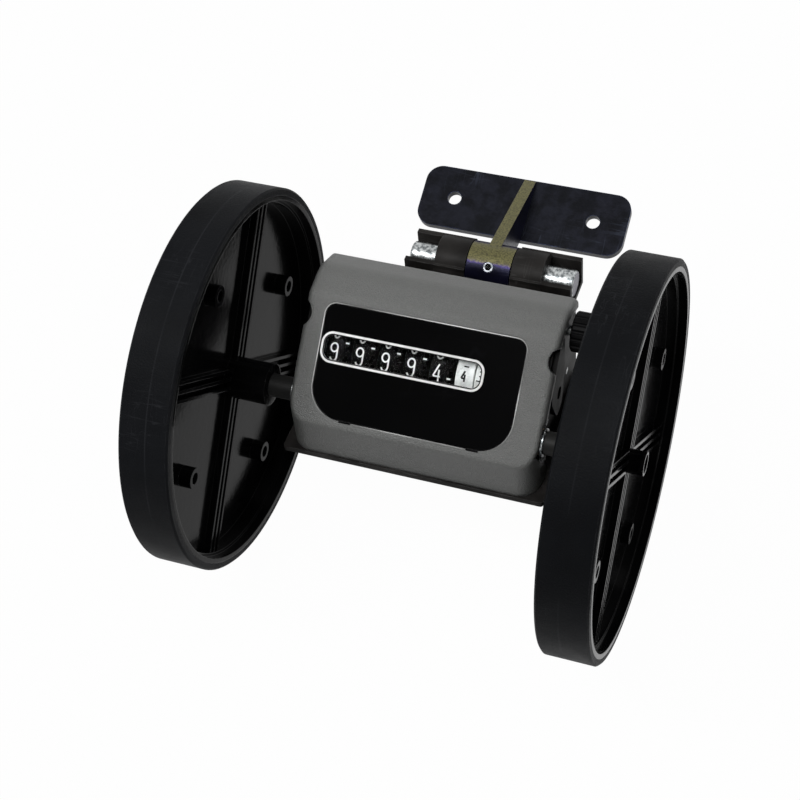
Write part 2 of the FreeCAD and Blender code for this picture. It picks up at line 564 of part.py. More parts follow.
for side, word in ((-1, "left"), (1, "right")):
    cheek = sketch_on(frame, "cheek_" + word, "YZ_Plane", "%d * calc.frame_face" % side)
    under = "dims.flange_depth + dims.free_gap"
    outline(cheek, [
        ("dims.cheek_front", "dims.relief_radius"),
        ("dims.cheek_front + dims.cheek_slant", "-dims.cheek_drop"),
        ("dims.cheek_back - dims.cheek_slant", "-dims.cheek_drop"), ("dims.cheek_back", "dims.cheek_bend"),
        ("dims.cheek_back", "dims.face_top_height - dims.roof_band - dims.free_gap"),
        ("dims.face_top_back", "dims.face_top_height - dims.roof_band - 4 * dims.free_gap"),
        on_slope("dims.notch_up - dims.cheek_end", under),
        on_slope("dims.notch_up - dims.cheek_start", under)])
    pad(frame, cheek, "dims.cover_wall", backwards=side < 0)
cheek_low = -value_of("cheek_drop")
round_edges(frame, "cheek_tips", "dims.cheek_fillet",
            lambda edge: runs_along(edge, ALONG_X) and abs(edge.Vertexes[0].Point.z - cheek_low) < 0.05)
trim = sketch_on(frame, "trim", "XY_Plane", "-dims.floor_depth + dims.frame_floor")
trim_front = "-dims.front_depth - dims.past"
outline(trim, [("-dims.cover_half", trim_front), ("dims.cover_half", trim_front),
               ("dims.cover_half", "-dims.frame_front"), ("-dims.cover_half", "-dims.frame_front")])
cut(frame, trim, "2 * dims.front_depth", backwards=True)
for name, back, high, radius in (
        ("axle_way", "0", "0", "dims.axle_radius + dims.bush_wall + dims.press_fit"),
        ("number_way", "calc.number_back", "calc.number_high", "dims.number_shaft_radius + dims.running_fit"),
        ("carry_way", "calc.carry_back", "calc.carry_high", "dims.carry_rod_radius + dims.press_fit"),
        ("reset_way", "dims.knob_back", "dims.knob_height", "dims.reset_shaft_radius + dims.running_fit")):
    way = sketch_on(frame, name, "YZ_Plane")
    disc(way, back, high, radius)
    cut(frame, way)
for name, back, high in (("idler_way", "calc.idler_back", "calc.idler_high"),
                         ("reset_idler_way", "calc.reset_back", "calc.reset_high")):
    way = sketch_on(frame, name, "YZ_Plane", "calc.frame_face")
    disc(way, back, high, "dims.stud_radius + dims.press_fit")
    cut(frame, way, "dims.frame_wall")
taps = sketch_on(frame, "taps", "XY_Plane", "-dims.floor_depth")
for across in ("-dims.screw_half", "dims.screw_half"):
    for along in ("dims.screw_front", "dims.screw_back"):
        disc(taps, across, along, "dims.screw_radius + dims.press_fit")
cut(frame, taps, "dims.screw_length", backwards=True)
seat(frame)


# Cover: roof, sloping face, front wall and shaped sides in one shell

cover = new_body("cover")
cover_profile = sketch_on(cover, "side", "YZ_Plane", "-dims.cover_half")
outline(cover_profile, [
    ("-dims.front_depth", "-dims.floor_depth"), ("-dims.front_depth", "-dims.face_foot"),
    ("dims.face_top_back", "dims.face_top_height"), ("dims.crown_back", "dims.crown_height"),
    ("dims.roof_back", "dims.roof_back_height"), ("dims.roof_back", "-dims.floor_depth")])
pad(cover, cover_profile, "2 * dims.cover_half")
front_line = -value_of("front_depth")
round_edges(cover, "front_corners", "dims.corner_radius",
            lambda edge: runs_along(edge, ALONG_Z) and abs(edge.Vertexes[0].Point.y - front_line) < 0.1)
round_edges(cover, "crown", "dims.crown_fillet",
            corner_near(value_of("crown_back"), value_of("crown_height")))
round_edges(cover, "brow", "dims.brow_fillet",
            corner_near(value_of("face_top_back"), value_of("face_top_height")))
half_cover = value_of("cover_half")


def side_rim(edge):
    # Picks the rim between each flat side and the face or roof
    spots = [vertex.Point for vertex in edge.Vertexes]
    on_side = all(abs(abs(spot.x) - half_cover) < 0.01 for spot in spots)
    return on_side and spots[0].x * spots[-1].x > 0 and all(spot.z > front_line for spot in spots)


round_edges(cover, "side_rims", "dims.rim_fillet", side_rim)
solid = cover.Tip
floor_line = -value_of("floor_depth")
back_line = value_of("roof_back")
open_faces = ["Face%d" % number for number, face in enumerate(solid.Shape.Faces, start=1)
              if abs(face.CenterOfMass.z - floor_line) < 0.01 or abs(face.CenterOfMass.y - back_line) < 0.01]
shell = cover.newObject("PartDesign::Thickness", "shell")
shell.Base = (solid, open_faces)
shell.Reversed = True
shell.Join = 1
shell.setExpression("Value", "dims.cover_wall")
doc.recompute()
for side, word in ((-1, "left"), (1, "right")):
    sides = sketch_on(cover, "sides_" + word, "YZ_Plane", "%d * (calc.frame_face - dims.free_gap)" % side)
    round_axle = [("dims.relief_radius * cos(%s)" % turn, "dims.relief_radius * sin(%s)" % turn)
                  for turn in ("dims.relief_low", "dims.relief_front")]
    outline(sides, [
        ("dims.wrap_back", "-dims.floor_depth - dims.past"), ("dims.wrap_back", "-dims.relief_radius")]
        + round_axle + [
        on_slope("calc.axle_up - dims.relief_mouth", "dims.flange_skin"),
        on_slope("calc.axle_up + dims.relief_mouth", "dims.flange_skin"),
        on_slope("calc.axle_up + dims.relief_radius", "dims.flange_depth"),
        on_slope("dims.notch_up - dims.flange_end", "dims.flange_depth"),
        ("dims.face_top_back + dims.brow_step", "dims.face_top_height - dims.roof_band"),
        ("dims.crown_back", "dims.crown_height - dims.roof_band"),
        ("dims.roof_back + dims.past", "dims.roof_back_height - dims.roof_band"),
        ("dims.roof_back + dims.past", "-dims.floor_depth - dims.past")])
    cut(cover, sides, "3 * dims.cover_wall", backwards=side > 0)

FACE_PLANE = ("placement(vector(0; -dims.front_depth; -dims.face_foot);"
              " rotation(vector(1; 0; 0); calc.slope))")
notches = sketch_on(cover, "notches", "XY_Plane")
notches.setExpression("AttachmentOffset", FACE_PLANE)
for side in (-1, 1):
    disc(notches, "%d * (dims.cover_half - dims.notch_depth + dims.notch_radius)" % side, "dims.notch_up",
         "dims.notch_radius")
cut(cover, notches, "4 * dims.flange_depth", middle=True)

window = sketch_on(cover, "window", "XY_Plane")
window.setExpression("AttachmentOffset", FACE_PLANE)
outline(window, [("-dims.window_left", "dims.window_foot"), ("dims.window_right", "dims.window_foot"),
                 ("dims.window_right", "dims.window_top"), ("-dims.window_left", "dims.window_top")])
cut(cover, window, "4 * dims.cover_wall", middle=True)
slope_angle = math.radians(value_of("slope"))
UP_FACE = FreeCAD.Vector(0, math.cos(slope_angle), math.sin(slope_angle))
OUT_OF_FACE = FreeCAD.Vector(0, -math.sin(slope_angle), math.cos(slope_angle))
FACE_FOOT = FreeCAD.Vector(0, -value_of("front_depth"), -value_of("face_foot"))


def window_corner(line):
    # Picks the edges square to the face that stand at the given height up the slope
    def wanted(edge):
        if not runs_along(edge, OUT_OF_FACE):
            return False
        return abs((edge.Vertexes[0].Point - FACE_FOOT).dot(UP_FACE) - line) < 0.05
    return wanted


round_edges(cover, "window_low_corners", "dims.window_round", window_corner(value_of("window_foot")))
round_edges(cover, "window_top_corners", "dims.window_nick", window_corner(value_of("window_top")))
seat(cover)


# Window panel, its aperture line and the clear strip over the numbers, in the plane of the face

def seat_on_face(body):
    seat(body, "-dims.front_depth", "-dims.face_foot", "calc.slope")


def face_outline(sketch, grow, grow_top):
    outline(sketch, [
        ("-dims.window_left - (%s)" % grow, "dims.window_foot - (%s)" % grow),
        ("dims.window_right + (%s)" % grow, "dims.window_foot - (%s)" % grow),
        ("dims.window_right + (%s)" % grow, "dims.window_top + (%s)" % grow_top),
        ("-dims.window_left - (%s)" % grow, "dims.window_top + (%s)" % grow_top)])


def rounded_slot(sketch, inset, inset_now):
    # Rounded rectangle that stands inside the aperture's outer line by the inset.
    # inset_now is the inset's present size, from which the sketch starts.
    west = "-dims.aperture_left + (%s)" % inset
    east = "dims.aperture_right - (%s)" % inset
    low = "dims.aperture_foot + (%s)" % inset
    high = "dims.aperture_top - (%s)" % inset
    bend = "(dims.aperture_round - (%s))" % inset
    bend_now = value_of("aperture_round") - inset_now
    west_now = inset_now - value_of("aperture_left")
    east_now = value_of("aperture_right") - inset_now
    low_now = value_of("aperture_foot") + inset_now
    high_now = value_of("aperture_top") - inset_now
    quarter = math.pi / 2
    # each corner: its two expressions and its ways inwards, then the centres of the four bends now
    corners = [(east, low, -1, 1), (east, high, -1, -1), (west, high, 1, -1), (west, low, 1, 1)]
    centres = [(east_now - bend_now, low_now + bend_now), (east_now - bend_now, high_now - bend_now),
               (west_now + bend_now, high_now - bend_now), (west_now + bend_now, low_now + bend_now)]
    first = sketch.GeometryCount
    for number, (across_now, up_now) in enumerate(centres):
        circle = Part.Circle(FreeCAD.Vector(across_now, up_now, 0), FreeCAD.Vector(0, 0, 1), bend_now)
        sketch.addGeometry(Part.ArcOfCircle(circle, (number - 1) * quarter, number * quarter), False)
    for number in range(4):
        leave = sketch.getPoint(first + number, 2)
        reach = sketch.getPoint(first + (number + 1) % 4, 1)
        sketch.addGeometry(Part.LineSegment(leave, reach), False)
    for number in range(4):
        straight = first + 4 + number
        sketch.addConstraint(Sketcher.Constraint("Coincident", first + number, 2, straight, 1))
        sketch.addConstraint(Sketcher.Constraint("Coincident", straight, 2, first + (number + 1) % 4, 1))
    for number, (across, up, inward, upward) in enumerate(corners):
        on_upright = (across, "%s + %d * %s" % (up, upward, bend))
        on_level = ("%s + %d * %s" % (across, inward, bend), up)
        leaving, reaching = (on_upright, on_level) if number % 2 == 0 else (on_level, on_upright)
        tie_point(sketch, first + number, 1, *reaching)
        tie_point(sketch, first + number, 2, *leaving)
        centre = sketch.getPoint(first + number, 3)
        index = sketch.addConstraint(Sketcher.Constraint("DistanceX", -1, 1, first + number, 3, centre.x))
        sketch.setExpression("Constraints[%d]" % index, on_level[0])


LINE_NOW = value_of("aperture_line")

panel = new_body("window_panel")
plug = sketch_on(panel, "plug", "XY_Plane", "-dims.cover_wall - dims.panel_seat")
face_outline(plug, "-dims.panel_gap", "-dims.panel_gap")
pad(panel, plug, "dims.cover_wall + dims.panel_seat - dims.panel_sink")
doc.recompute()
foot_line = value_of("window_foot") + value_of("panel_gap")
round_edges(panel, "low_corners", "dims.window_round - dims.panel_gap",
            lambda edge: runs_along(edge, ALONG_Z) and abs(edge.Vertexes[0].Point.y - foot_line) < 0.05)
top_line = value_of("window_top") - value_of("panel_gap")
round_edges(panel, "top_corners", "dims.window_nick - dims.panel_gap",
            lambda edge: runs_along(edge, ALONG_Z) and abs(edge.Vertexes[0].Point.y - top_line) < 0.05)
lip = sketch_on(panel, "lip", "XY_Plane", "-dims.cover_wall - dims.panel_seat - dims.panel_lip_thickness")
face_outline(lip, "dims.panel_lip", "dims.panel_lip_top")
face_outline(lip, "-dims.panel_rim", "-dims.panel_rim")
pad(panel, lip, "dims.panel_lip_thickness")
slot = sketch_on(panel, "slot", "XY_Plane")
rounded_slot(slot, "dims.aperture_line", LINE_NOW)
cut(panel, slot)
seat_on_face(panel)

aperture = new_body("aperture_frame")
outer = sketch_on(aperture, "outer", "XY_Plane", "-dims.panel_sink")
rounded_slot(outer, "0", 0)
rounded_slot(outer, "dims.aperture_line", LINE_NOW)
pad(aperture, outer, "dims.aperture_proud")
seat_on_face(aperture)

lens = new_body("window_lens")
pane = sketch_on(lens, "pane", "XY_Plane", "-dims.panel_sink - dims.lens_sink - dims.lens_thickness")
rounded_slot(pane, "dims.aperture_line + dims.lens_gap", LINE_NOW + value_of("lens_gap"))
pad(lens, pane, "dims.lens_thickness")
seat_on_face(lens)


# Number wheels, each with its carry gear and carry disc, and the pinions between them

DRUMS = ["ten_thousands", "thousands", "hundreds", "tens", "metres", "tenths"]
CARRY_TURN = meshing_turn("dims.carry_slope", "dims.carry_pinion_teeth", "0", "dims.carry_teeth")
shaft_bore = "dims.number_shaft_radius + dims.running_fit"
for order, word in enumerate(DRUMS):
    drum = new_body("number_wheel_" + word)
    middle = "(dims.drum_first + %d * dims.drum_pitch)" % order
    left = "%s - dims.drum_width / 2" % middle
    right = "%s + dims.drum_width / 2" % middle
    corners = [(left, shaft_bore), (left, "dims.drum_radius"), (right, "dims.drum_radius")]
    if word == "tenths":
        ring = right + " + dims.ring_gap"
        groove = "dims.drum_radius - dims.ring_groove"
        corners += [(right, groove), (ring, groove),
                    (ring, "dims.drum_radius"), (ring + " + dims.ring_width", "dims.drum_radius"),
                    (ring + " + dims.ring_width", "dims.drum_hub_radius"),
                    ("dims.drive_plane + dims.gear_width", "dims.drum_hub_radius"),
                    ("dims.drive_plane + dims.gear_width", shaft_bore)]
    else:
        corners += [(right, shaft_bore)]
    turn_about_x(drum, "section", corners)
    if word != "tenths":
        add_teeth(drum, right, "dims.carry_gear_width", "dims.carry_module", "dims.carry_teeth",
                  "2 * dims.tooth_slack")
        bore(drum, shaft_bore)
    if order > 0:
        disc_start = left + " - dims.carry_disc_width"
        carry_disc = sketch_on(drum, "carry_disc", "YZ_Plane", disc_start)
        disc(carry_disc, "0", "0", "dims.carry_disc_radius")
        disc(carry_disc, "0", "0", shaft_bore)
        pad(drum, carry_disc, "dims.carry_disc_width")
        finger = sketch_on(drum, "fingers", "YZ_Plane", disc_start)
        for lane in (-1, 1):
            low = "%d * dims.carry_module - dims.carry_finger / 2" % lane
            high = "%d * dims.carry_module + dims.carry_finger / 2" % lane
            near = "dims.carry_disc_radius - dims.carry_finger"
            far = "dims.carry_disc_radius + dims.carry_finger"
            outline(finger, [(near, low), (far, low), (far, high), (near, high)])
        pad(drum, finger, "dims.carry_disc_width")
    seat(drum, "calc.number_back", "calc.number_high")

for order in range(len(DRUMS) - 1):
    pinion = new_body("carry_pinion_%d" % (order + 1))
    start = "dims.drum_first + %d * dims.drum_pitch + dims.drum_width / 2 + dims.free_gap / 3" % order
    width = "dims.drum_pitch - dims.drum_width - 2 * dims.free_gap / 3"
    add_teeth(pinion, start, width, "dims.carry_module", "dims.carry_pinion_teeth", "2 * dims.tooth_slack")
    bore(pinion, "dims.carry_rod_radius + dims.running_fit")
    seat(pinion, "calc.carry_back", "calc.carry_high", CARRY_TURN)


def make_rod(name, start, end, radius, back, high, head=None):
    # Plain round rod along X, with a flat head at its start where one is given
    body = new_body(name)
    corners = [(start, "0"), (start, radius), (end, radius), (end, "0")]
    if head is not None:
        head_start = start + " - dims.stud_head_thickness"
        corners = [(head_start, "0"), (head_start, head), (start, head)] + corners[1:]
    turn_about_x(body, "section", corners)
    seat(body, back, high)


make_rod("number_shaft", "-calc.frame_face", "calc.frame_face", "dims.number_shaft_radius",
         "calc.number_back", "calc.number_high")
make_rod("carry_rod", "-calc.frame_face", "calc.frame_face", "dims.carry_rod_radius",
         "calc.carry_back", "calc.carry_high")
make_rod("idler_stud", "dims.drive_plane - dims.free_gap", "calc.frame_face", "dims.stud_radius",
         "calc.idler_back", "calc.idler_high", "dims.stud_head")
make_rod("reset_idler_stud", "dims.reset_plane - dims.free_gap", "calc.frame_face", "dims.stud_radius",
         "calc.reset_back", "calc.reset_high", "dims.stud_head")
make_rod("reset_shaft", "-calc.frame_face", "calc.knob_start + dims.knob_length - dims.knob_skin",
         "dims.reset_shaft_radius", "dims.knob_back", "dims.knob_height")


# Gears of the drive train and of the reset train

def make_gear(name, start, module, teeth, hole, back, high, turned="0"):
    body = new_body(name)
    add_teeth(body, start, "dims.gear_width", module, teeth)
    bore(body, hole)
    seat(body, back, high, turned)


make_gear("axle_gear", "dims.axle_gear_plane", "dims.axle_module", "dims.axle_teeth",
          "dims.axle_radius + dims.press_fit", "0", "0")

IDLER_TURN = meshing_turn("calc.idler_line", "dims.idler_large_teeth", "0", "dims.axle_teeth")
cluster = new_body("idler_cluster")
add_teeth(cluster, "dims.axle_gear_plane", "dims.gear_width", "dims.axle_module", "dims.idler_large_teeth")
doc.recompute()
small = sketch_on(cluster, "small_rim", "YZ_Plane", "dims.drive_plane")
disc(small, "0", "0", "dims.train_module * (dims.idler_small_teeth / 2 - dims.tooth_rim)")
pad(cluster, small, "dims.axle_gear_plane - dims.drive_plane")
add_teeth(cluster, "dims.drive_plane", "dims.gear_width", "dims.train_module", "dims.idler_small_teeth")
hub = sketch_on(cluster, "hub", "YZ_Plane", "dims.axle_gear_plane + dims.gear_width")
disc(hub, "0", "0", "dims.idler_hub_radius")
pad(cluster, hub, "calc.frame_inner - dims.free_gap - dims.axle_gear_plane - dims.gear_width")
bore(cluster, "dims.stud_radius + dims.running_fit")
seat(cluster, "calc.idler_back", "calc.idler_high", IDLER_TURN)

DRIVE_TURN = meshing_turn("calc.drive_line", "dims.drive_teeth", IDLER_TURN, "dims.idler_small_teeth")
make_gear("drive_gear", "dims.drive_plane", "dims.train_module", "dims.drive_teeth",
          "dims.drum_hub_radius + dims.press_fit", "calc.number_back", "calc.number_high", DRIVE_TURN)

make_gear("reset_pinion", "dims.reset_plane", "dims.reset_module", "dims.reset_teeth",
          "dims.reset_shaft_radius + dims.press_fit", "dims.knob_back", "dims.knob_height")
RESET_TURN = meshing_turn("calc.reset_line", "dims.reset_idler_teeth", "0", "dims.reset_teeth")
make_gear("reset_idler", "dims.reset_plane", "dims.reset_module", "dims.reset_idler_teeth",
          "dims.stud_radius + dims.running_fit", "calc.reset_back", "calc.reset_high", RESET_TURN)
SHAFT_TURN = meshing_turn("calc.shaft_line", "dims.shaft_gear_teeth", RESET_TURN, "dims.reset_idler_teeth")
make_gear("shaft_gear", "dims.reset_plane", "dims.reset_module", "dims.shaft_gear_teeth",
          "dims.number_shaft_radius + dims.press_fit", "calc.number_back", "calc.number_high", SHAFT_TURN)


# Fluted reset knob on the right

knob = new_body("reset_knob")
knob_end = "calc.knob_start + dims.knob_length"
turn_about_x(knob, "section", [
    ("calc.knob_start", "0"), ("calc.knob_start", "dims.knob_radius - dims.knob_inner_bevel"),
    ("calc.knob_start + dims.knob_inner_bevel", "dims.knob_radius"),
    (knob_end + " - dims.knob_outer_bevel", "dims.knob_radius"),
    (knob_end, "dims.knob_radius - dims.knob_outer_bevel"), (knob_end, "0")])
flute = sketch_on(knob, "flute", "YZ_Plane", "calc.knob_start - dims.past")
disc(flute, "dims.knob_radius", "0", "dims.flute_radius")
one_flute = cut(knob, flute, "dims.knob_length + 2 * dims.past", backwards=True)
repeat_about_x(knob, one_flute, "dims.knob_flutes")
bore(knob, "dims.reset_shaft_radius + dims.press_fit", "calc.knob_start - dims.past",
     "dims.knob_length - dims.knob_skin + dims.past")
seat(knob, "dims.knob_back", "dims.knob_height")


# Mounting bracket: plate, arm with barrel, hinge shaft and the pin that locks them

plate = new_body("bracket_plate")
plan = sketch_on(plate, "plan", "XY_Plane")
half_long = "dims.plate_length / 2"
half_wide = "dims.plate_width / 2"
outline(plan, [("-" + half_long, "-" + half_wide), (half_long, "-" + half_wide), (half_long, half_wide),
               ("-" + half_long, half_wide)])
pad(plate, plan, "dims.plate_thickness")
round_edges(plate, "corners", "dims.plate_corner", lambda edge: runs_along(edge, ALONG_Z))
drills = sketch_on(plate, "drills", "XY_Plane")
for side in (-1, 1):
    disc(drills, "%d * dims.hole_spacing / 2" % side, "0", "dims.hole_radius")
cut(plate, drills)
seat_on_bracket(plate, "0", "0")

arm = new_body("bracket_arm")
web = sketch_on(arm, "web", "YZ_Plane", "-dims.fin_thickness / 2")
fin_back = "dims.plate_width / 2 - dims.fin_edge"
outline(web, [
    ("-dims.bracket_reach", "dims.hinge_height + dims.barrel_radius - dims.fin_top"),
    ("-dims.bracket_reach + dims.fin_shoulder_back", "dims.hinge_height + dims.fin_shoulder_up"),
    (fin_back, "dims.plate_thickness + dims.fin_end_height"),
    (fin_back, "dims.plate_thickness"), ("-dims.plate_width / 2", "dims.plate_thickness"),
    ("-dims.bracket_reach", "dims.hinge_height - dims.barrel_radius + dims.fin_bottom")])
pad(arm, web, "dims.fin_thickness")
barrel = sketch_on(arm, "barrel", "YZ_Plane", "-dims.lug_inner + dims.free_gap")
disc(barrel, "-dims.bracket_reach", "dims.hinge_height", "dims.barrel_radius")
pad(arm, barrel, "2 * (dims.lug_inner - dims.free_gap)")
shaft_hole = sketch_on(arm, "shaft_hole", "YZ_Plane")
disc(shaft_hole, "-dims.bracket_reach", "dims.hinge_height", "dims.hinge_radius + dims.press_fit")
cut(arm, shaft_hole)
pin_hole = sketch_on(arm, "pin_hole", "XY_Plane")
pin_hole.setExpression("AttachmentOffset", "placement(vector(0; -dims.bracket_reach; dims.hinge_height);"
                       " rotation(vector(1; 0; 0); dims.pin_tilt))")
disc(pin_hole, "0", "0", "dims.pin_radius + dims.press_fit")
cut(arm, pin_hole, "dims.barrel_radius + dims.past", backwards=True)
seat_on_bracket(arm, "0", "0")

hinge = new_body("hinge_shaft")
shaft_end = "(dims.arm_half - dims.free_gap)"
shaft_tip = "dims.hinge_radius - dims.shaft_chamfer"
turn_about_x(hinge, "section", [
    ("-" + shaft_end, "0"), ("-" + shaft_end, shaft_tip),
    ("-%s + dims.shaft_chamfer" % shaft_end, "dims.hinge_radius"),
    ("%s - dims.shaft_chamfer" % shaft_end, "dims.hinge_radius"), (shaft_end, shaft_tip), (shaft_end, "0")])
cross = sketch_on(hinge, "cross", "XY_Plane", "-dims.pin_depth")
disc(cross, "0", "0", "dims.pin_radius + dims.press_fit")
cut(hinge, cross, "2 * dims.hinge_radius", backwards=True)
seat_on_bracket(hinge, "-dims.bracket_reach", "dims.hinge_height", "dims.pin_tilt")

pin = new_body("roll_pin")
tube = sketch_on(pin, "tube", "XY_Plane", "-dims.pin_depth")
disc(tube, "0", "0", "dims.pin_radius")
disc(tube, "0", "0", "dims.pin_bore")
pad(pin, tube, "dims.barrel_radius + dims.pin_depth - dims.pin_sink")
seat_on_bracket(pin, "-dims.bracket_reach", "dims.hinge_height", "dims.pin_tilt")


# Four screws that hold the base plate to the inner frame, one group

screws = []
for across in ("-dims.screw_half", "dims.screw_half"):
    for along in ("dims.screw_front", "dims.screw_back"):
        parts = []
        for low, high, radius in (("-dims.screw_head_height", "0", "dims.screw_head"),
                                  ("0", "dims.screw_length", "dims.screw_radius")):
            cylinder = doc.addObject("Part::Cylinder", "screw_part")
            cylinder.setExpression("Radius", radius)
            cylinder.setExpression("Height", "(%s) - (%s)" % (high, low))
            cylinder.setExpression("Placement.Base.x", across)
            cylinder.setExpression("Placement.Base.y", along)
            cylinder.setExpression("Placement.Base.z", "-dims.floor_depth - dims.base_thickness + (%s)" % low)
            parts.append(cylinder)
        screw = doc.addObject("Part::MultiFuse", "screw")
        screw.Shapes = parts
        screws.append(screw)
group = doc.addObject("Part::Compound", "base_screws")
group.Label = "base_screws"
group.Links = screws
seat(group)
NODES.append(group)


# Check every object, then write one file per piece

doc.recompute()
for item in doc.Objects:
    if "Invalid" in item.State or "Error" in item.State:
        raise RuntimeError("%s did not build: %s" % (item.Name, item.State))
for node in NODES:
    if node.Shape.isNull() or not node.Shape.isValid():
        raise RuntimeError("%s has no valid shape" % node.Label)

os.makedirs("parts", exist_ok=True)
for node in NODES:
    node.Shape.exportStep("parts/%s.step" % node.Label)
    box = node.Shape.BoundBox
    print("%-28s solids %d  volume %9.1f  X %.1f..%.1f Y %.1f..%.1f Z %.1f..%.1f" % (
        node.Label, len(node.Shape.Solids), node.Shape.Volume,
        box.XMin, box.XMax, box.YMin, box.YMax, box.ZMin, box.ZMax))
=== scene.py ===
# %% [markdown]
# # A cable length counter, dressed in Blender
# The counter is a grey housing with a number window, two rubber-tyred wheels on one axle, and a hinged
# mounting plate at the back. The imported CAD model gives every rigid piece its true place, so this lesson
# adds what CAD leaves out: printed figures, small trim, and a finish for each surface.
# Everything is in metres, and the frame is the table the counter stands on.

# %% Load the frame
import json
import math
import bpy
import numpy as np
from mathutils import Matrix, Vector


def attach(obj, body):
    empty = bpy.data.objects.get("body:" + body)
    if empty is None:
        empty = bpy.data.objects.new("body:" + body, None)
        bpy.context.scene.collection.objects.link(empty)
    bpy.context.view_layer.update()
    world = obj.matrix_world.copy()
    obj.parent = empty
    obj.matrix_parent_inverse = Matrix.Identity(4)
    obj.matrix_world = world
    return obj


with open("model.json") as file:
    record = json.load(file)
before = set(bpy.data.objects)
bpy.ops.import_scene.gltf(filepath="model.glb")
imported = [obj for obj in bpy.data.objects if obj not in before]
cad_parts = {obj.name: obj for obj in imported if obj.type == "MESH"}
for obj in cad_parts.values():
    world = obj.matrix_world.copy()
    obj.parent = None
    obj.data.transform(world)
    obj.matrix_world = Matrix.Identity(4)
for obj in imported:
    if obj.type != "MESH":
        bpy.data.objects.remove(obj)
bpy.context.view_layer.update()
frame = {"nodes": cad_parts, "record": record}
NODES = frame["nodes"]
MM = 0.001

# %% [markdown]
# ## The camera
# The object was seen from high up in front and a little to the right, with the camera rolled. The matrix
# columns are the camera's right, up and backward directions. A long lens keeps the two wheels nearly the
# same size, as they are in a product photograph. We set it first so that every later look uses it.

# %% Camera
camera_data = bpy.data.cameras.new("camera")
camera = bpy.data.objects.new("camera", camera_data)
bpy.context.scene.collection.objects.link(camera)
camera_data.lens = 76.0
camera_data.sensor_width = 36.0
camera_data.clip_start = 0.01
turned = Matrix(((0.940912, -0.198287, 0.274529),
                 (0.268329, 0.931080, -0.247162),
                 (-0.206600, 0.306222, 0.929271)))
camera.matrix_world = Matrix.Translation((0.11798, -0.19192, 0.47248)) @ turned.to_4x4()
bpy.context.scene.camera = camera
print("camera at", [round(value, 3) for value in camera.location])

# %% [markdown]
# ## Floor and light
# The roof and the sloping face of the cover are equally bright and its front wall is half as bright, so
# the light stands almost straight above. We use one soft panel there and a smaller one to the left. Each
# stands where one hub would mirror it to the camera, but the black plastic mirrors so little that hardly
# a glint shows. A strip on the right lights the cover's side, and one behind draws a rim along the tyres.
# The floor is nearly white to the camera and in reflections, but keeps the soft shadow under the tyres.

# %% Floor
def new_material(name):
    """An empty node material and its tree."""
    material = bpy.data.materials.new(name)
    material.use_nodes = True
    material.node_tree.nodes.clear()
    return material, material.node_tree


def background_rays(tree):
    """1 for rays that should see the white background: camera, glossy and transmission rays."""
    rays = tree.nodes.new("ShaderNodeLightPath")
    either = tree.nodes.new("ShaderNodeMath")
    either.operation = "MAXIMUM"
    tree.links.new(rays.outputs["Is Camera Ray"], either.inputs[0])
    tree.links.new(rays.outputs["Is Glossy Ray"], either.inputs[1])
    all_three = tree.nodes.new("ShaderNodeMath")
    all_three.operation = "MAXIMUM"
    tree.links.new(either.outputs[0], all_three.inputs[0])
    tree.links.new(rays.outputs["Is Transmission Ray"], all_three.inputs[1])
    return all_three.outputs[0]


floor_size = 3.0
floor_mesh = bpy.data.meshes.new("floor")
half = floor_size / 2
floor_mesh.from_pydata([(-half, -half, 0), (half, -half, 0), (half, half, 0), (-half, half, 0)], [],
                       [(0, 1, 2, 3)])
floor = bpy.data.objects.new("floor", floor_mesh)
bpy.context.scene.collection.objects.link(floor)
floor_paint, tree = new_material("pale floor")
nodes, links = tree.nodes, tree.links
matt = nodes.new("ShaderNodeBsdfDiffuse")
matt.inputs["Color"].default_value = (0.55, 0.55, 0.55, 1)
glow = nodes.new("ShaderNodeEmission")
glow.inputs["Strength"].default_value = 1.0
share = nodes.new("ShaderNodeMath")
share.operation = "MULTIPLY"
share.inputs[1].default_value = 0.98
blend = nodes.new("ShaderNodeMixShader")
out = nodes.new("ShaderNodeOutputMaterial")
links.new(background_rays(tree), share.inputs[0])
links.new(share.outputs[0], blend.inputs[0])
links.new(matt.outputs[0], blend.inputs[1])
links.new(glow.outputs[0], blend.inputs[2])
links.new(blend.outputs[0], out.inputs["Surface"])
floor_mesh.materials.append(floor_paint)
print("floor", floor_size, "m square")

# %% Lights and world
def soft_panel(name, place, target, width, height, power):
    """A rectangular area lamp at place that faces target."""
    lamp = bpy.data.lights.new(name, "AREA")
    lamp.shape = "RECTANGLE"
    lamp.size = width
    lamp.size_y = height
    lamp.energy = power
    holder = bpy.data.objects.new(name, lamp)
    bpy.context.scene.collection.objects.link(holder)
    holder.location = place
    aim = Vector(target) - Vector(place)
    holder.rotation_euler = aim.to_track_quat("-Z", "Y").to_euler()


middle = (0.0, -0.07, 0.05)
soft_panel("overhead", (-0.08, -0.13, 0.95), middle, 0.34, 0.34, 5.0)
soft_panel("left glint", (-0.39, -0.07, 0.95), middle, 0.13, 0.13, 2.8)
soft_panel("right strip", (0.62, -0.26, 0.43), middle, 0.12, 0.30, 1.3)
soft_panel("rim", (0.35, 0.75, 0.45), middle, 0.8, 0.25, 1.6)
world = bpy.data.worlds.new("studio")
bpy.context.scene.world = world
world.use_nodes = True
tree = world.node_tree
tree.nodes.clear()
room = tree.nodes.new("ShaderNodeBackground")
room.inputs["Color"].default_value = (0.80, 0.83, 0.86, 1)
room.inputs["Strength"].default_value = 0.09
white = tree.nodes.new("ShaderNodeBackground")
white.inputs["Color"].default_value = (1, 1, 1, 1)
white.inputs["Strength"].default_value = 1.0
mixed = tree.nodes.new("ShaderNodeMixShader")
sky = tree.nodes.new("ShaderNodeOutputWorld")
tree.links.new(background_rays(tree), mixed.inputs[0])
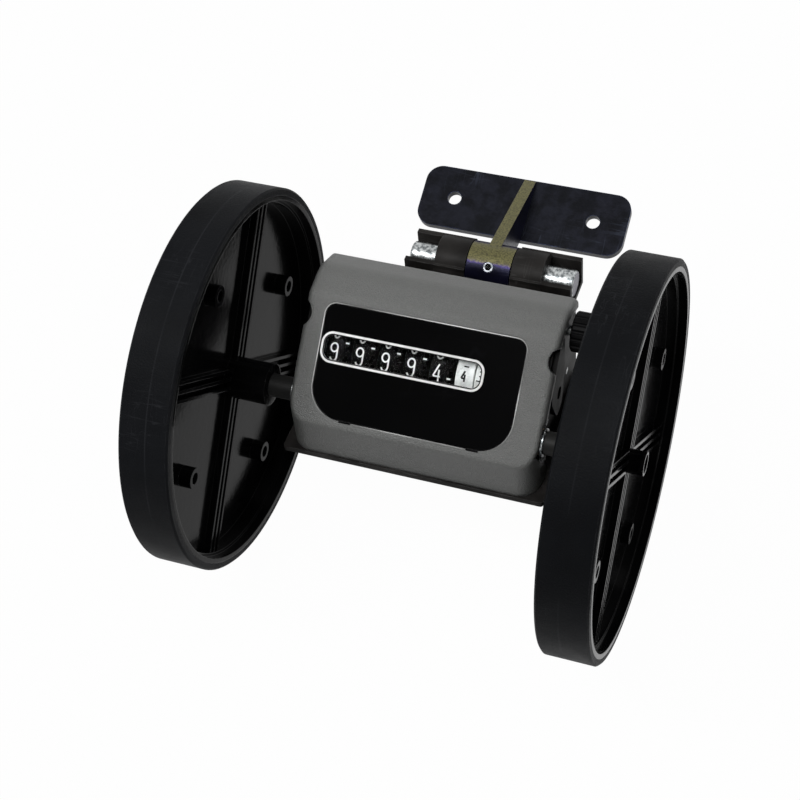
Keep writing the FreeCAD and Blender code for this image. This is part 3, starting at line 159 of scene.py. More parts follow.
tree.links.new(room.outputs[0], mixed.inputs[1])
tree.links.new(white.outputs[0], mixed.inputs[2])
tree.links.new(mixed.outputs[0], sky.inputs["Surface"])
bpy.context.scene.view_settings.view_transform = "Standard"
print("lamps", len(bpy.data.lights))

# %% [markdown]
# ## Effects that several finishes share
# Real moulded plastic is never one flat colour. Four effects repeat over the counter, so each one is a
# node group with named inputs: fine grain, slow mottling between two colours, hairline scratches, and
# lighter edges, partly rubbed by use and partly a painted highlight. A group is built once, and each
# material sets its own values. Shader nodes stay outside.

# %% Node group helpers
def new_group(name, inputs, outputs):
    """A shader node group. inputs are (name, kind, value), outputs are (name, kind)."""
    group = bpy.data.node_groups.new(name, "ShaderNodeTree")
    for label, kind, value in inputs:
        socket = group.interface.new_socket(name=label, in_out="INPUT", socket_type=kind)
        socket.default_value = value
    for label, kind in outputs:
        group.interface.new_socket(name=label, in_out="OUTPUT", socket_type=kind)
    return group, group.nodes.new("NodeGroupInput"), group.nodes.new("NodeGroupOutput")


def math_node(tree, kind, first, second=None):
    """One Math node. first and second are sockets or plain numbers. Gives its output."""
    node = tree.nodes.new("ShaderNodeMath")
    node.operation = kind
    for place, value in ((0, first), (1, second)):
        if value is None:
            continue
        if isinstance(value, (int, float)):
            node.inputs[place].default_value = value
        else:
            tree.links.new(value, node.inputs[place])
    return node.outputs[0]


def smooth_step(tree, value, low, high):
    """0 below low, 1 above high, smooth between."""
    node = tree.nodes.new("ShaderNodeMapRange")
    node.interpolation_type = "SMOOTHSTEP"
    tree.links.new(value, node.inputs["Value"])
    node.inputs["From Min"].default_value = low
    node.inputs["From Max"].default_value = high
    return node.outputs[0]


def noise(tree, scale, detail=3.0, stretch=None):
    """Noise on Object coordinates, stretched along an axis where asked. Gives the Fac output."""
    place = tree.nodes.new("ShaderNodeTexCoord")
    texture = tree.nodes.new("ShaderNodeTexNoise")
    texture.inputs["Detail"].default_value = detail
    source = place.outputs["Object"]
    if stretch is not None:
        mapping = tree.nodes.new("ShaderNodeMapping")
        mapping.inputs["Scale"].default_value = stretch
        tree.links.new(source, mapping.inputs["Vector"])
        source = mapping.outputs["Vector"]
    tree.links.new(source, texture.inputs["Vector"])
    if isinstance(scale, (int, float)):
        texture.inputs["Scale"].default_value = scale
    else:
        tree.links.new(scale, texture.inputs["Scale"])
    return texture.outputs["Fac"]


FLOAT, COLOR = "NodeSocketFloat", "NodeSocketColor"
print("group helpers ready")

# %% Grain, mottle, scratches, and lighter edges with a painted highlight
BEVEL_SAMPLES = 6
grain, given, result = new_group("grain", [("Scale", FLOAT, 2000.0), ("Strength", FLOAT, 1.0)],
                                 [("Height", FLOAT)])
fine = noise(grain, given.outputs["Scale"], 4.0)
grain.links.new(math_node(grain, "MULTIPLY", fine, given.outputs["Strength"]), result.inputs["Height"])

mottle, given, result = new_group("mottle", [("First", COLOR, (0.1, 0.1, 0.1, 1)),
                                             ("Second", COLOR, (0.2, 0.2, 0.2, 1)),
                                             ("Scale", FLOAT, 60.0)], [("Color", COLOR)])
cloud = smooth_step(mottle, noise(mottle, given.outputs["Scale"], 5.0), 0.35, 0.65)
mix = mottle.nodes.new("ShaderNodeMix")
mix.data_type = "RGBA"
mottle.links.new(cloud, mix.inputs[0])
mottle.links.new(given.outputs["First"], mix.inputs[6])
mottle.links.new(given.outputs["Second"], mix.inputs[7])
mottle.links.new(mix.outputs[2], result.inputs["Color"])

scratch, given, result = new_group("scratches", [("Scale", FLOAT, 120.0), ("Amount", FLOAT, 0.5)],
                                   [("Mask", FLOAT)])
lines = None
for stretch in ((0.06, 1.0, 1.0), (1.0, 0.08, 0.5)):
    run = noise(scratch, given.outputs["Scale"], 2.0, stretch)
    thin = math_node(scratch, "ABSOLUTE", math_node(scratch, "SUBTRACT", run, 0.5))
    hair = math_node(scratch, "SUBTRACT", 1.0, smooth_step(scratch, thin, 0.0, 0.012))
    lines = hair if lines is None else math_node(scratch, "MAXIMUM", lines, hair)
patch = smooth_step(scratch, noise(scratch, 45.0, 2.0), 0.5, 0.7)
kept = math_node(scratch, "MULTIPLY", math_node(scratch, "MULTIPLY", lines, patch), given.outputs["Amount"])
scratch.links.new(kept, result.inputs["Mask"])

# Lighter edges: partly rubbing, partly a painted highlight along every edge.
wear_and_highlight, given, result = new_group("edge wear and highlight", [("Radius", FLOAT, 0.0005), ("Amount", FLOAT, 0.5)],
                                [("Mask", FLOAT)])
round_off = wear_and_highlight.nodes.new("ShaderNodeBevel")
round_off.samples = BEVEL_SAMPLES
wear_and_highlight.links.new(given.outputs["Radius"], round_off.inputs["Radius"])
flat = wear_and_highlight.nodes.new("ShaderNodeNewGeometry")
dot = wear_and_highlight.nodes.new("ShaderNodeVectorMath")
dot.operation = "DOT_PRODUCT"
wear_and_highlight.links.new(round_off.outputs["Normal"], dot.inputs[0])
wear_and_highlight.links.new(flat.outputs["Normal"], dot.inputs[1])
turn_away = smooth_step(wear_and_highlight, math_node(wear_and_highlight, "SUBTRACT", 1.0, dot.outputs["Value"]), 0.02, 0.22)
broken = smooth_step(wear_and_highlight, noise(wear_and_highlight, 350.0, 4.0), 0.35, 0.6)
worn_and_lit = math_node(wear_and_highlight, "MULTIPLY", math_node(wear_and_highlight, "MULTIPLY", turn_away, broken), given.outputs["Amount"])
wear_and_highlight.links.new(worn_and_lit, result.inputs["Mask"])
print("groups", [group.name for group in bpy.data.node_groups])

# %% [markdown]
# ## One recipe, many finishes
# Each finish starts from a Principled shader. The colour drifts between two near tones, scratches and
# lighter edges mix in a third, the edges partly rubbed by use and partly a painted highlight, the
# roughness wanders, and a fine grain gives the bump. A Bevel node rounds the edges in the shading only,
# so the CAD solids catch a thin highlight without new geometry.

# %% Finish recipe
DRIFT_FINER = 3.1  # the roughness wanders this many times finer than the colour


def place_group(tree, group, **values):
    """A copy of a node group in the tree, with its inputs set by name."""
    node = tree.nodes.new("ShaderNodeGroup")
    node.node_tree = group
    for label, value in values.items():
        node.inputs[label].default_value = value
    return node


def mix_colour(tree, mask, first, second):
    """Mixes the first colour (socket) with the second (four numbers) by the mask."""
    node = tree.nodes.new("ShaderNodeMix")
    node.data_type = "RGBA"
    tree.links.new(mask, node.inputs[0])
    tree.links.new(first, node.inputs[6])
    node.inputs[7].default_value = second
    return node.outputs[2]


def finish(name, dark, light, rough, spread=0.08, cloud_scale=60.0, metallic=0.0, grain_scale=2500.0,
           grain_depth=0.00001, scuff=(0.3, 0.3, 0.3), scuff_scale=120.0, scuff_amount=0.3,
           edge=(0.3, 0.3, 0.3), edge_radius=0.0004, edge_amount=0.4, shine=0.5, bevel=0.0003):
    """A grained finish with rubbed edges and painted edge highlights.
    Colours are linear, lengths are metres. Gives the material.
    """
    material, tree = new_material(name)
    shader = tree.nodes.new("ShaderNodeBsdfPrincipled")
    out = tree.nodes.new("ShaderNodeOutputMaterial")
    tree.links.new(shader.outputs[0], out.inputs["Surface"])
    base = place_group(tree, mottle, First=(*dark, 1), Second=(*light, 1), Scale=cloud_scale)
    hairs = place_group(tree, scratch, Scale=scuff_scale, Amount=scuff_amount)
    edges = place_group(tree, wear_and_highlight, Radius=edge_radius, Amount=edge_amount)
    colour = mix_colour(tree, hairs.outputs["Mask"], base.outputs["Color"], (*scuff, 1))
    colour = mix_colour(tree, edges.outputs["Mask"], colour, (*edge, 1))
    tree.links.new(colour, shader.inputs["Base Color"])
    drift = noise(tree, cloud_scale * DRIFT_FINER, 3.0)
    roughness = tree.nodes.new("ShaderNodeMapRange")
    tree.links.new(drift, roughness.inputs["Value"])
    roughness.inputs["To Min"].default_value = max(rough - spread, 0.02)
    roughness.inputs["To Max"].default_value = min(rough + spread, 1.0)
    tree.links.new(roughness.outputs[0], shader.inputs["Roughness"])
    shader.inputs["Metallic"].default_value = metallic
    shader.inputs["Specular IOR Level"].default_value = shine
    soft = tree.nodes.new("ShaderNodeBevel")
    soft.samples = BEVEL_SAMPLES
    soft.inputs["Radius"].default_value = bevel
    bump = tree.nodes.new("ShaderNodeBump")
    bump.inputs["Distance"].default_value = grain_depth
    sand = place_group(tree, grain, Scale=grain_scale, Strength=1.0)
    tree.links.new(sand.outputs["Height"], bump.inputs["Height"])
    tree.links.new(soft.outputs["Normal"], bump.inputs["Normal"])
    tree.links.new(bump.outputs["Normal"], shader.inputs["Normal"])
    return material


def shader_of(material):
    """The Principled shader of a finish."""
    return next(node for node in material.node_tree.nodes if node.type == "BSDF_PRINCIPLED")


print("recipe ready")

# %% [markdown]
# ## Black plastic and rubber
# Six blacks sit close together here, and mostly their gloss tells them apart. The wheels are satin black
# plastic, so their ribs and rims show as thin lines, with a faint painted highlight on their edges. The
# tyres are dull rubber, a little lighter and bluer, with faint scuffs that run round the tread and a
# painted highlight along their rims. A low specular level keeps a black surface black even though it
# mirrors a white room.

# %% Wheels, tyres and black parts
# A faint painted highlight lightens the wheels' edges.
wheel_plastic = finish("satin black plastic", (0.0014, 0.0014, 0.0016), (0.0030, 0.0030, 0.0032), 0.14,
                       spread=0.05, grain_scale=700, grain_depth=0.00003, scuff=(0.02, 0.02, 0.02),
                       scuff_scale=60, scuff_amount=0.2, edge=(0.02, 0.02, 0.021), edge_amount=0.10,
                       shine=0.035)
knob_plastic = finish("ribbed knob plastic", (0.0022, 0.0022, 0.0024), (0.0044, 0.0044, 0.0047), 0.42,
                      grain_scale=1500, grain_depth=0.00002, scuff_amount=0.03, edge=(0.01, 0.01, 0.01),
                      edge_amount=0.2, shine=0.03)
# The tyres' light edge colour is a painted highlight along their rims.
tyre_rubber = finish("scuffed tyre rubber", (0.0030, 0.0033, 0.0039), (0.0060, 0.0065, 0.0076), 0.48,
                     spread=0.12, cloud_scale=30, grain_scale=2400, grain_depth=0.00012,
                     scuff=(0.024, 0.025, 0.028), scuff_scale=420, scuff_amount=0.4,
                     edge=(0.045, 0.046, 0.050), edge_amount=0.8, shine=0.03)
dull_black = finish("dull black plastic", (0.004, 0.004, 0.004), (0.009, 0.009, 0.0085), 0.5,
                    grain_scale=2600, grain_depth=0.00002, scuff=(0.05, 0.05, 0.05), scuff_amount=0.2,
                    edge=(0.06, 0.06, 0.06), shine=0.12)
frame_black = finish("black frame plastic", (0.0040, 0.0040, 0.0039), (0.0080, 0.0080, 0.0078), 0.42,
                     spread=0.1, grain_scale=2200, grain_depth=0.00003, scuff=(0.05, 0.05, 0.05),
                     scuff_amount=0.2, edge=(0.07, 0.07, 0.07), edge_amount=0.4, shine=0.03)
sheet_black = finish("black coated sheet", (0.009, 0.0082, 0.0078), (0.020, 0.0185, 0.0175), 0.46,
                     spread=0.12, cloud_scale=90, scuff=(0.09, 0.088, 0.085), scuff_scale=260,
                     scuff_amount=0.35, edge=(0.10, 0.10, 0.10), edge_amount=0.5, shine=0.06)
print("black finishes done")

# %% [markdown]
# ## The parting line of the tyres
# A moulded tyre keeps a faint line round the middle of its tread, where the two halves of its mould met.
# It is a thin mask on the distance from that middle: 1 - smoothstep(| |x| - middle |, 0, half width). We
# mix it over the rubber's own colour, so it needs no geometry.

# %% Parting line
tread_middle = 0.0535  # metres from the middle of the axle
line_full, line_gone = 0.00005, 0.00028
tree = tyre_rubber.node_tree
rubber = shader_of(tyre_rubber)
under_line = rubber.inputs["Base Color"].links[0].from_socket
place = tree.nodes.new("ShaderNodeTexCoord")
parts = tree.nodes.new("ShaderNodeSeparateXYZ")
tree.links.new(place.outputs["Object"], parts.inputs[0])
outward = math_node(tree, "ABSOLUTE", parts.outputs[0])
off_middle = math_node(tree, "ABSOLUTE", math_node(tree, "SUBTRACT", outward, tread_middle))
seam = math_node(tree, "SUBTRACT", 1.0, smooth_step(tree, off_middle, line_full, line_gone))
rubbed = math_node(tree, "MULTIPLY", seam, smooth_step(tree, noise(tree, 30.0, 3.0), 0.38, 0.62))
tree.links.new(mix_colour(tree, rubbed, under_line, (0.014, 0.0147, 0.0166, 1)), rubber.inputs["Base Color"])
print("parting line at x", tread_middle)

# %% [markdown]
# ## The grey cover
# The cover is sand-textured plastic in one mid grey. The texture scatters light, so its slope looks even
# and only the soft edges shine. We use a deeper grain here than on the wheels, hardly any scratches, and
# a lighter line along every edge, a painted highlight, which also draws the outline of the window.

# %% Grey cover, panel and print
# Its light edge colour is a painted highlight along every edge.
cover_grey = finish("sand textured grey", (0.076, 0.078, 0.075), (0.114, 0.116, 0.112), 0.38,
                    spread=0.06, cloud_scale=4200, grain_scale=3400, grain_depth=0.00024,
                    scuff=(0.26, 0.26, 0.25), scuff_amount=0.08, edge=(0.36, 0.36, 0.35),
                    edge_radius=0.0009, edge_amount=0.6, shine=0.45, bevel=0.0012)
# A painted highlight: a bright line along the window's cut edge.
edge_highlight_paint = finish("painted window edge highlight", (0.11, 0.11, 0.108), (0.78, 0.78, 0.77), 0.35, cloud_scale=42,
                   scuff_amount=0.0, edge_amount=0.0, shine=0.3, bevel=0.00005)
panel_black = finish("gloss black panel", (0.0010, 0.0010, 0.0011), (0.0018, 0.0018, 0.0020), 0.16,
                     spread=0.05, cloud_scale=18, grain_scale=500, grain_depth=0.000004,
                     scuff=(0.015, 0.015, 0.018), scuff_scale=60, scuff_amount=0.15,
                     edge=(0.10, 0.10, 0.10), edge_amount=0.4, shine=0.015)
print_white = finish("white print", (0.74, 0.74, 0.73), (0.88, 0.88, 0.87), 0.45, cloud_scale=400,
                     scuff_amount=0.0, edge_amount=0.0, shine=0.3, bevel=0.00005)
print_black = finish("black print", (0.006, 0.006, 0.006), (0.012, 0.012, 0.012), 0.5, cloud_scale=400,
                     scuff_amount=0.0, edge_amount=0.0, shine=0.1, bevel=0.00005)
drum_black = finish("black number wheel", (0.0016, 0.0016, 0.0016), (0.0035, 0.0035, 0.0035), 0.42,
                    scuff_amount=0.02, edge=(0.03, 0.03, 0.03), edge_amount=0.3, shine=0.03)
drum_white = finish("white number wheel", (0.66, 0.66, 0.65), (0.86, 0.86, 0.85), 0.42, cloud_scale=500,
                    scuff=(0.2, 0.2, 0.2), scuff_scale=300, scuff_amount=0.3, edge=(0.8, 0.8, 0.8),
                    shine=0.3)
print("cover and window finishes done")

# %% [markdown]
# ## Metal
# The hinge shaft and pins are zinc plated: bright, a little rough, with dark speckles. The shaft's ends
# stand in shade, so a mask on the direction of the surface paints them dark: a painted shade. The bushes
# are bronze. The mounting bracket is blackened steel, painted a lighter olive gold on what faces up and
# back, as painted light. So the colour follows the direction of the surface: a dot product with that
# direction goes through a colour ramp, which runs from navy through violet to olive. The clear strip over
# the numbers is a plain glass with a low index, so that it hardly bends or dims the figures behind it.

# %% Plated steel, bronze and moulded gears
ZINC_TONES = ((0.11, 0.12, 0.125), (0.52, 0.54, 0.54), 0.30)
ZINC = dict(spread=0.14, cloud_scale=900, metallic=1.0, grain_scale=1200, grain_depth=0.00004,
            scuff=(0.12, 0.12, 0.12), scuff_scale=200, scuff_amount=0.5)
plated = finish("zinc plated steel", *ZINC_TONES, **ZINC)
pin_steel = finish("dulled pin steel", (0.10, 0.11, 0.12), (0.26, 0.27, 0.29), 0.36, metallic=1.0,
                   cloud_scale=700, scuff_amount=0.1, edge=(0.3, 0.3, 0.32), edge_amount=0.2)
hinge_steel = finish("plated hinge shaft", *ZINC_TONES, **ZINC)
tree = hinge_steel.node_tree
shaft_colour = shader_of(hinge_steel).inputs["Base Color"]
zinc = shaft_colour.links[0].from_socket
along = tree.nodes.new("ShaderNodeSeparateXYZ")
tree.links.new(tree.nodes.new("ShaderNodeTexCoord").outputs["Normal"], along.inputs[0])
# Painted shade: the shaft's ends are painted dark, purple-grey.
painted_end_shade = smooth_step(tree, math_node(tree, "ABSOLUTE", along.outputs[0]), 0.80, 0.95)
tree.links.new(mix_colour(tree, painted_end_shade, zinc, (0.020, 0.016, 0.042, 1)), shaft_colour)
bronze = finish("sintered bronze", (0.34, 0.22, 0.10), (0.50, 0.36, 0.18), 0.4, metallic=1.0)
moulded = finish("natural moulded gear", (0.58, 0.55, 0.46), (0.68, 0.65, 0.56), 0.4, scuff_amount=0.05)
print("metals done")

# %% Clear strip over the numbers
clear, tree = new_material("clear strip")
shader = tree.nodes.new("ShaderNodeBsdfPrincipled")
out = tree.nodes.new("ShaderNodeOutputMaterial")
shader.inputs["Base Color"].default_value = (0.95, 0.97, 0.97, 1)
shader.inputs["Transmission Weight"].default_value = 1.0
shader.inputs["IOR"].default_value = 1.08
smear = noise(tree, 260.0, 3.0)
glaze = tree.nodes.new("ShaderNodeMapRange")
tree.links.new(smear, glaze.inputs["Value"])
glaze.inputs["To Min"].default_value = 0.0
glaze.inputs["To Max"].default_value = 0.06
tree.links.new(glaze.outputs[0], shader.inputs["Roughness"])
tree.links.new(shader.outputs[0], out.inputs["Surface"])
print("clear strip done")

# %% Blued bracket steel
def lit_top_finish(name, toward, low, high):
    """Blackened steel painted lighter olive, as painted light, where it faces toward:
    level = normal . toward, from low to high.
    """
    # Its bluish edge colour is a painted highlight.
    material = finish(name, (0.0035, 0.0035, 0.009), (0.006, 0.006, 0.018), 0.34, spread=0.10,
                      cloud_scale=160, metallic=0.5, grain_scale=1500, grain_depth=0.00003,
                      scuff=(0.05, 0.055, 0.08), scuff_scale=260, scuff_amount=0.5,
                      edge=(0.04, 0.045, 0.11), edge_amount=0.6, shine=0.12)
    shader, tree = shader_of(material), material.node_tree
    plain = shader.inputs["Base Color"].links[0].from_socket
    place = tree.nodes.new("ShaderNodeTexCoord")
    # Painted light: the faces turned toward the given direction are painted lighter olive.
    facing = tree.nodes.new("ShaderNodeVectorMath")
    facing.operation = "DOT_PRODUCT"
    tree.links.new(place.outputs["Normal"], facing.inputs[0])
    facing.inputs[1].default_value = toward
    wander = math_node(tree, "MULTIPLY", math_node(tree, "SUBTRACT", noise(tree, 700.0, 5.0), 0.5), 0.10)
    level = math_node(tree, "ADD", facing.outputs["Value"], wander)
    reach = tree.nodes.new("ShaderNodeMapRange")
    tree.links.new(level, reach.inputs["Value"])
    reach.inputs["From Min"].default_value = low
    reach.inputs["From Max"].default_value = high
    ramp = tree.nodes.new("ShaderNodeValToRGB")
    tree.links.new(reach.outputs[0], ramp.inputs[0])
    ramp.color_ramp.elements[0].position = 0.0
    ramp.color_ramp.elements[0].color = (0.004, 0.004, 0.012, 1)
    ramp.color_ramp.elements[1].position = 1.0
    ramp.color_ramp.elements[1].color = (0.15, 0.14, 0.062, 1)
    violet = ramp.color_ramp.elements.new(0.35)
    violet.color = (0.018, 0.012, 0.060, 1)
    olive = ramp.color_ramp.elements.new(0.62)
    olive.color = (0.075, 0.068, 0.034, 1)
    speckle = tree.nodes.new("ShaderNodeMapRange")
    tree.links.new(noise(tree, 2200.0, 3.0), speckle.inputs["Value"])
    speckle.inputs["From Min"].default_value = 0.35
    speckle.inputs["From Max"].default_value = 0.60
    speckle.inputs["To Min"].default_value = 0.45
    amount = math_node(tree, "MULTIPLY", smooth_step(tree, reach.outputs[0], 0.0, 0.5), speckle.outputs[0])
    node = tree.nodes.new("ShaderNodeMix")
    node.data_type = "RGBA"
    tree.links.new(amount, node.inputs[0])
    tree.links.new(plain, node.inputs[6])
    tree.links.new(ramp.outputs[0], node.inputs[7])
    tree.links.new(node.outputs[2], shader.inputs["Base Color"])
    return material


# The arm's faces turned up and back get painted light.
arm_steel = lit_top_finish("arm steel with painted top light", (0.0, 0.342, 0.940), 0.79, 0.95)
# Its bluish edges are a painted highlight.
plate_steel = finish("blued plate steel", (0.0034, 0.0038, 0.0056), (0.0085, 0.0092, 0.0140), 0.34,
                     spread=0.12, cloud_scale=260, metallic=0.5, grain_scale=1500, grain_depth=0.00004,
                     scuff=(0.035, 0.042, 0.060), scuff_scale=300, scuff_amount=0.45,
                     edge=(0.03, 0.05, 0.14), edge_amount=0.8, shine=0.12)
print("bracket steels done")

# %% [markdown]
# ## Give each CAD piece its finish
# A CAD piece already has a material slot. We only swap what is in the slot, and never touch its mesh.

# %% Assign the finishes
FINISHES = {
    wheel_plastic: ["wheel_left", "wheel_right"],
    knob_plastic: ["reset_knob"],
    frame_black: ["inner_frame"],
    pin_steel: ["roll_pin"],
    tyre_rubber: ["tyre_left", "tyre_right"],
    dull_black: ["spacer_left", "spacer_right"],
    sheet_black: ["base_frame"],
    cover_grey: ["cover"],
    panel_black: ["window_panel"],
    print_white: ["aperture_frame"],
    clear: ["window_lens"],
    drum_black: ["number_wheel_ten_thousands", "number_wheel_thousands", "number_wheel_hundreds",
                 "number_wheel_tens", "number_wheel_metres"],
    drum_white: ["number_wheel_tenths"],
    hinge_steel: ["hinge_shaft"],
    plated: ["axle", "axle_clip_left", "axle_clip_right", "number_shaft",
             "carry_rod", "idler_stud", "reset_idler_stud", "reset_shaft", "base_screws"],
    bronze: ["axle_bush_left", "axle_bush_right"],
    moulded: ["axle_gear", "idler_cluster", "drive_gear", "reset_pinion", "reset_idler", "shaft_gear",
              "carry_pinion_1", "carry_pinion_2", "carry_pinion_3", "carry_pinion_4", "carry_pinion_5"],
    arm_steel: ["bracket_arm"],
    plate_steel: ["bracket_plate"],
}
dressed = 0
for material, names in FINISHES.items():
    for name in names:
        for place in NODES[name].material_slots:
            place.material = material
        dressed += 1
print("dressed", dressed, "of", len(NODES))

# %% [markdown]
# ## Figures on the number wheels
# The figures are thin printed strokes, so each one is a narrow ribbon that follows a path on the wheel's
# round surface. A path is drawn flat, in millimetres, from a few arcs and straight runs. Wrapping turns
# the flat height into an angle: angle = middle angle - height / radius. That keeps the stroke width true.

# %% Ribbon on a drum
joint_of = {joint["name"]: joint for joint in frame["record"]["behaviour"]["joints"]}
number_axis = np.array(joint_of["tenths_spin"]["pos_m"])
number_radius = 10.0  # millimetres
drum_radius = number_radius * MM
lean = math.radians(23.894)  # how far the housing leans forward on its hinge
slope = math.radians(43.03)  # the face's angle in the housing's own directions
row_below = 0.80  # the row of figures stands this many millimetres below the top of the slope's arc
reading_angle = math.pi / 2 + slope - lean + row_below / number_radius
ink_sink, ink_rise = 0.03 * MM, 0.05 * MM


def arc(across, up, wide, high, start, stop, steps=18):
    """Points on an ellipse: (across + wide cos t, up + high sin t), t from start to stop in degrees."""
    t = np.radians(np.linspace(start, stop, steps))
    return np.stack([across + wide * np.cos(t), up + high * np.sin(t)], axis=1)


def ribbon(path, width, middle_x, angle, radius):
    """A closed strip along a flat path, wrapped on a drum: x = middle_x + u, angle - v / radius.
    path is in millimetres, and the four corners of each section are path +- width / 2, in or out."""
    run = np.gradient(path, axis=0)
    run /= np.linalg.norm(run, axis=1)[:, None]
    side = np.stack([-run[:, 1], run[:, 0]], axis=1) * width / 2
    flat = np.stack([path + side, path + side, path - side, path - side], axis=1) * MM
    reach = radius + np.array([-ink_sink, ink_rise, ink_rise, -ink_sink])
    turn = angle - flat[:, :, 1] / radius
    points = np.stack([middle_x + flat[:, :, 0], number_axis[1] + reach * np.cos(turn),
                       number_axis[2] + reach * np.sin(turn)], axis=2)
    count = len(path)
    start = np.arange(count - 1)[:, None] * 4
    corner = np.arange(4)[None, :]
    following = (corner + 1) % 4
    quads = np.stack([start + corner, start + following, start + 4 + following, start + 4 + corner], axis=2)
    last = 4 * (count - 1)
    caps = np.array([[3, 2, 1, 0], [last, last + 1, last + 2, last + 3]])
    return points.reshape(-1, 3), np.concatenate([quads.reshape(-1, 4), caps])


def join(parts):
    """Several (points, faces) as one."""
    points, faces, base = [], [], 0
    for some_points, some_faces in parts:
        points.append(some_points)
        faces.append(some_faces + base)
        base += len(some_points)
    return np.concatenate(points), np.concatenate(faces)


def add_piece(name, points, faces, material, body, slot):
    """A mesh object from whole arrays, riding on a body, with a finish. The slot argument is not used."""
    mesh = bpy.data.meshes.new(name)
    mesh.from_pydata(points.tolist(), [], faces.tolist())
    mesh.validate()
    mesh.update()
    mesh.materials.append(material)
    piece = bpy.data.objects.new(name, mesh)
    bpy.context.scene.collection.objects.link(piece)
    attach(piece, body)


print("figures read at", round(math.degrees(reading_angle), 1), "degrees")

# %% The ten figures as flat paths
def straight(*corners):
    """Points along straight runs between corners, eight to a run."""
    runs = [np.linspace(first, second, 8, endpoint=False) for first, second in zip(corners, corners[1:])]
    return np.concatenate(runs + [np.array([corners[-1]])])


TOP, WIDE = 2.4, 0.95
FIGURES = {
    0: [arc(0, 0, WIDE, TOP, 0, 362, 40)],
    1: [straight((0.1, -TOP), (0.1, TOP)), straight((-0.5, TOP - 0.8), (0.1, TOP))],
    2: [arc(0, TOP - WIDE, WIDE, WIDE, 165, -35), straight((0.76, 0.9), (-WIDE, -TOP)),
        straight((-WIDE, -TOP), (WIDE, -TOP))],
    3: [arc(0, TOP - 1.1, 0.88, 1.1, 160, -90), arc(0, -TOP + 1.2, WIDE, 1.2, 90, -160)],
    4: [straight((0.35, TOP), (-WIDE, -0.9)), straight((-WIDE, -0.9), (WIDE, -0.9)),
        straight((0.5, 0.9), (0.5, -TOP))],
    5: [straight((0.85, TOP), (-0.75, TOP)), straight((-0.75, TOP), (-0.8, 0.3)),
        arc(0, -TOP + 1.4, WIDE, 1.4, 140, -150)],
    6: [arc(0, -TOP + 1.15, WIDE, 1.15, 0, 362, 30), arc(0, 0.9, WIDE, TOP - 0.9, 25, 180),
        straight((-WIDE, 0.9), (-WIDE, -1.15))],
    7: [straight((-WIDE, TOP), (WIDE, TOP)), straight((WIDE, TOP), (-0.3, -TOP))],
    8: [arc(0, TOP - 1.05, 0.82, 1.05, 0, 362, 30), arc(0, -TOP + 1.25, WIDE, 1.25, 0, 362, 30)],
    9: [arc(0, TOP - 1.15, WIDE, 1.15, 0, 362, 30), straight((WIDE, 1.15), (WIDE, -0.9)),
        arc(0, -0.9, WIDE, TOP - 0.9, 0, -155)],
}
print("figures", len(FIGURES))

# %% Print the figures and ticks
wheel_words = ["ten_thousands", "thousands", "hundreds", "tens", "metres", "tenths"]
shown = [9, 9, 9, 9, 4, 4]
first_wheel, wheel_pitch, stroke_width, lean_left = -25.4, 7.3, 0.42, 0.3
figure_turn = 2 * math.pi / 10
tooth_tip = 9.765 * MM
half_wheel, ring_gap, half_ring = 2.45, 0.4, 1.15
ticks_a_figure, tick_end, tick_long, tick_short, tick_thick = 5, 1.1, 1.9, 1.3, 0.34
half_dash, dash_thick = 0.7, 0.4
tooth_from, tooth_to, tooth_thick, tooth_lift, metres_lift = 2.5, 3.5, 0.45, 2.9, -1.05
for order, word in enumerate(wheel_words):
    across = (first_wheel + wheel_pitch * order) * MM
    ink = print_black if word == "tenths" else print_white
    slot_name = "number_black" if word == "tenths" else "line_white"
    scale, thick, raised = (0.60, 0.50, 0.5) if word == "tenths" else (1.0, stroke_width, 0.0)
    strokes = []
    for figure, paths in FIGURES.items():
        angle = reading_angle - (figure - shown[order]) * figure_turn - raised * MM / drum_radius
        strokes += [ribbon(path * scale, thick, across - lean_left * MM, angle, drum_radius)
                    for path in paths]
    add_piece("figures_" + word, *join(strokes), ink, word + "_wheel", slot_name)
    marks = []
    if word == "tenths":
        ring_middle = across + (half_wheel + ring_gap + half_ring) * MM
        for mark in range(10 * ticks_a_figure):
            length = tick_long if mark % ticks_a_figure == 0 else tick_short
            path = straight((tick_end - length, 0), (tick_end, 0))
            place = reading_angle - mark * figure_turn / ticks_a_figure
            marks.append(ribbon(path, tick_thick, ring_middle, place, drum_radius))
        for mark in range(10):
            between = reading_angle - (mark + 0.5) * figure_turn
            path = straight((-half_dash, 0), (half_dash, 0))
            marks.append(ribbon(path, dash_thick, across, between, drum_radius))
    else:
        lift = metres_lift if word == "metres" else tooth_lift
        for mark in range(10):
            path = straight((tooth_from, lift), (tooth_to, lift))
            marks.append(ribbon(path, tooth_thick, across, reading_angle - mark * figure_turn, tooth_tip))
    add_piece("ticks_" + word, *join(marks), ink, word + "_wheel", slot_name)
print("printed", len(wheel_words), "number wheels")

# %% [markdown]
# ## Trim round the window
# The cut edge of the window carries a bright line, a painted highlight, and two clips of the dark panel
# reach over its lower edge.
# A black band covers the inner third of the white outline, which is thinner in print than as a moulding.
# All of them lie on the sloping face, so we describe them there: across the face, up its slope, and out
# of it. A point in the room is foot + up * (cos a, sin a) + out * (-sin a, cos a), where a is the face's
# angle.

# %% Points on the sloping face
axle_back, axle_high = -83.5312, 53.05
foot_forward, foot_below = 9.1, 1.6  # from the axle, in the housing's own directions
face_angle = slope - lean
foot_back = axle_back - foot_forward * math.cos(lean) - foot_below * math.sin(lean)
foot_high = axle_high + foot_forward * math.sin(lean) - foot_below * math.cos(lean)


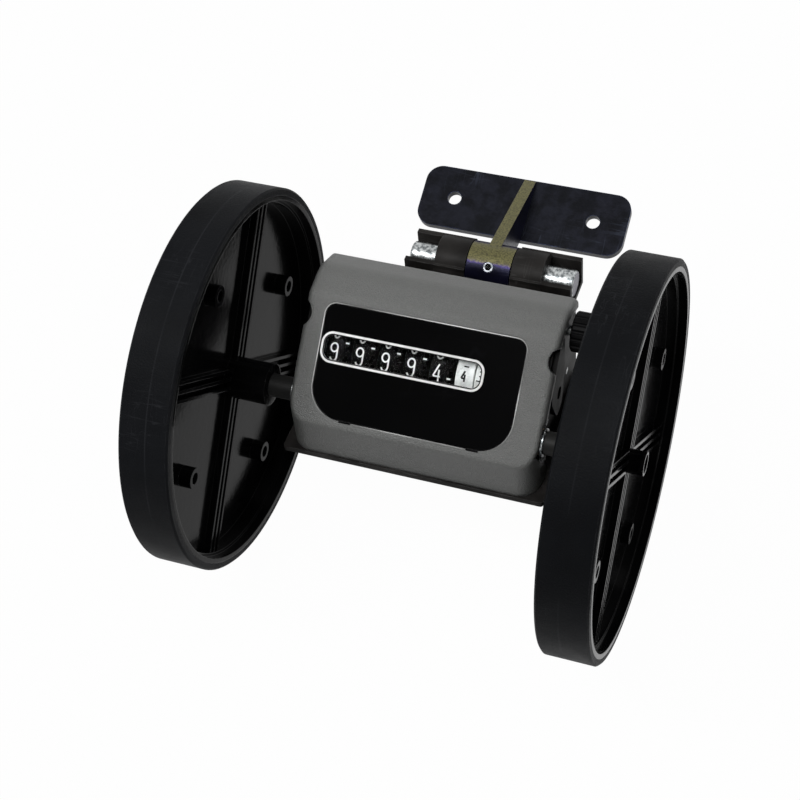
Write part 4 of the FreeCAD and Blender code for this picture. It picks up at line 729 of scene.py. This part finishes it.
def on_face(flat):
    """Room points in metres from (across, up, out) in millimetres."""
    back = foot_back + flat[..., 1] * math.cos(face_angle) - flat[..., 2] * math.sin(face_angle)
    high = foot_high + flat[..., 1] * math.sin(face_angle) + flat[..., 2] * math.cos(face_angle)
    return np.stack([flat[..., 0], back, high], axis=-1) * MM


def rounded_loop(left, right, low, high, low_round, high_round, steps=10):
    """A closed rounded rectangle: four quarter arcs, point = corner centre + radius (cos t, sin t)."""
    corners = ((right - low_round, low + low_round, low_round, -90), (right - high_round, high - high_round,
               high_round, 0), (left + high_round, high - high_round, high_round, 90),
               (left + low_round, low + low_round, low_round, 180))
    return np.concatenate([arc(x, y, r, r, start, start + 90, steps) for x, y, r, start in corners])


def loop_strip(inner, outer, out_low, out_high):
    """A closed band between two flat loops. Its section is a rectangle from out_low to out_high."""
    rings = [np.column_stack([loop, np.full(len(loop), level)])
             for loop, level in ((inner, out_low), (inner, out_high), (outer, out_high), (outer, out_low))]
    points = on_face(np.stack(rings, axis=1))
    count = len(inner)
    start = np.arange(count)[:, None] * 4
    ahead = (np.arange(count)[:, None] + 1) % count * 4
    corner = np.arange(4)[None, :]
    following = (corner + 1) % 4
    quads = np.stack([start + corner, start + following, ahead + following, ahead + corner], axis=2)
    return points.reshape(-1, 3), quads.reshape(-1, 4)


print("face tilted", round(math.degrees(face_angle), 1), "degrees")

# %% Painted edge highlight and clips
def grown(box, by):
    """The six sizes of a rounded loop, moved outwards by a distance."""
    left, right, low, high, low_round, high_round = box
    return left - by, right + by, low - by, high + by, low_round + by, high_round + by


# A painted highlight runs round the window's cut edge.
window_box, highlight_width = (-29.0, 26.8, 2.2, 33.0, 9.0, 3.0), 0.24
highlight_strip = loop_strip(rounded_loop(*window_box), rounded_loop(*grown(window_box, highlight_width)), -0.06, 0.04)
add_piece("window_edge_highlight", *highlight_strip, edge_highlight_paint, "housing", "grey_cover")
slot_box, band_width = (-27.8, 15.9, 17.9, 24.6, 2.3, 2.3), 0.3
dark_band = loop_strip(rounded_loop(*slot_box), rounded_loop(*grown(slot_box, band_width)), -0.28, -0.23)
add_piece("number_outline_shade", *dark_band, panel_black, "housing", "panel_black")
clip_half, clip_low, clip_high, clip_round, core_share = 1.7, 1.85, 2.45, 0.2, 0.02
for side, middle_x in (("left", -18.2), ("right", 17.4)):
    slab = rounded_loop(middle_x - clip_half, middle_x + clip_half, clip_low, clip_high, clip_round,
                        clip_round, 5)
    heart = (middle_x, (clip_low + clip_high) / 2)
    core = (slab - heart) * core_share + heart
    add_piece("window_clip_" + side, *loop_strip(core, slab, -0.12, 0.10), panel_black, "housing",
              "panel_black")
print("window trim added")

# %% [markdown]
# ## The last line

# %% The last line
print("scene script done")
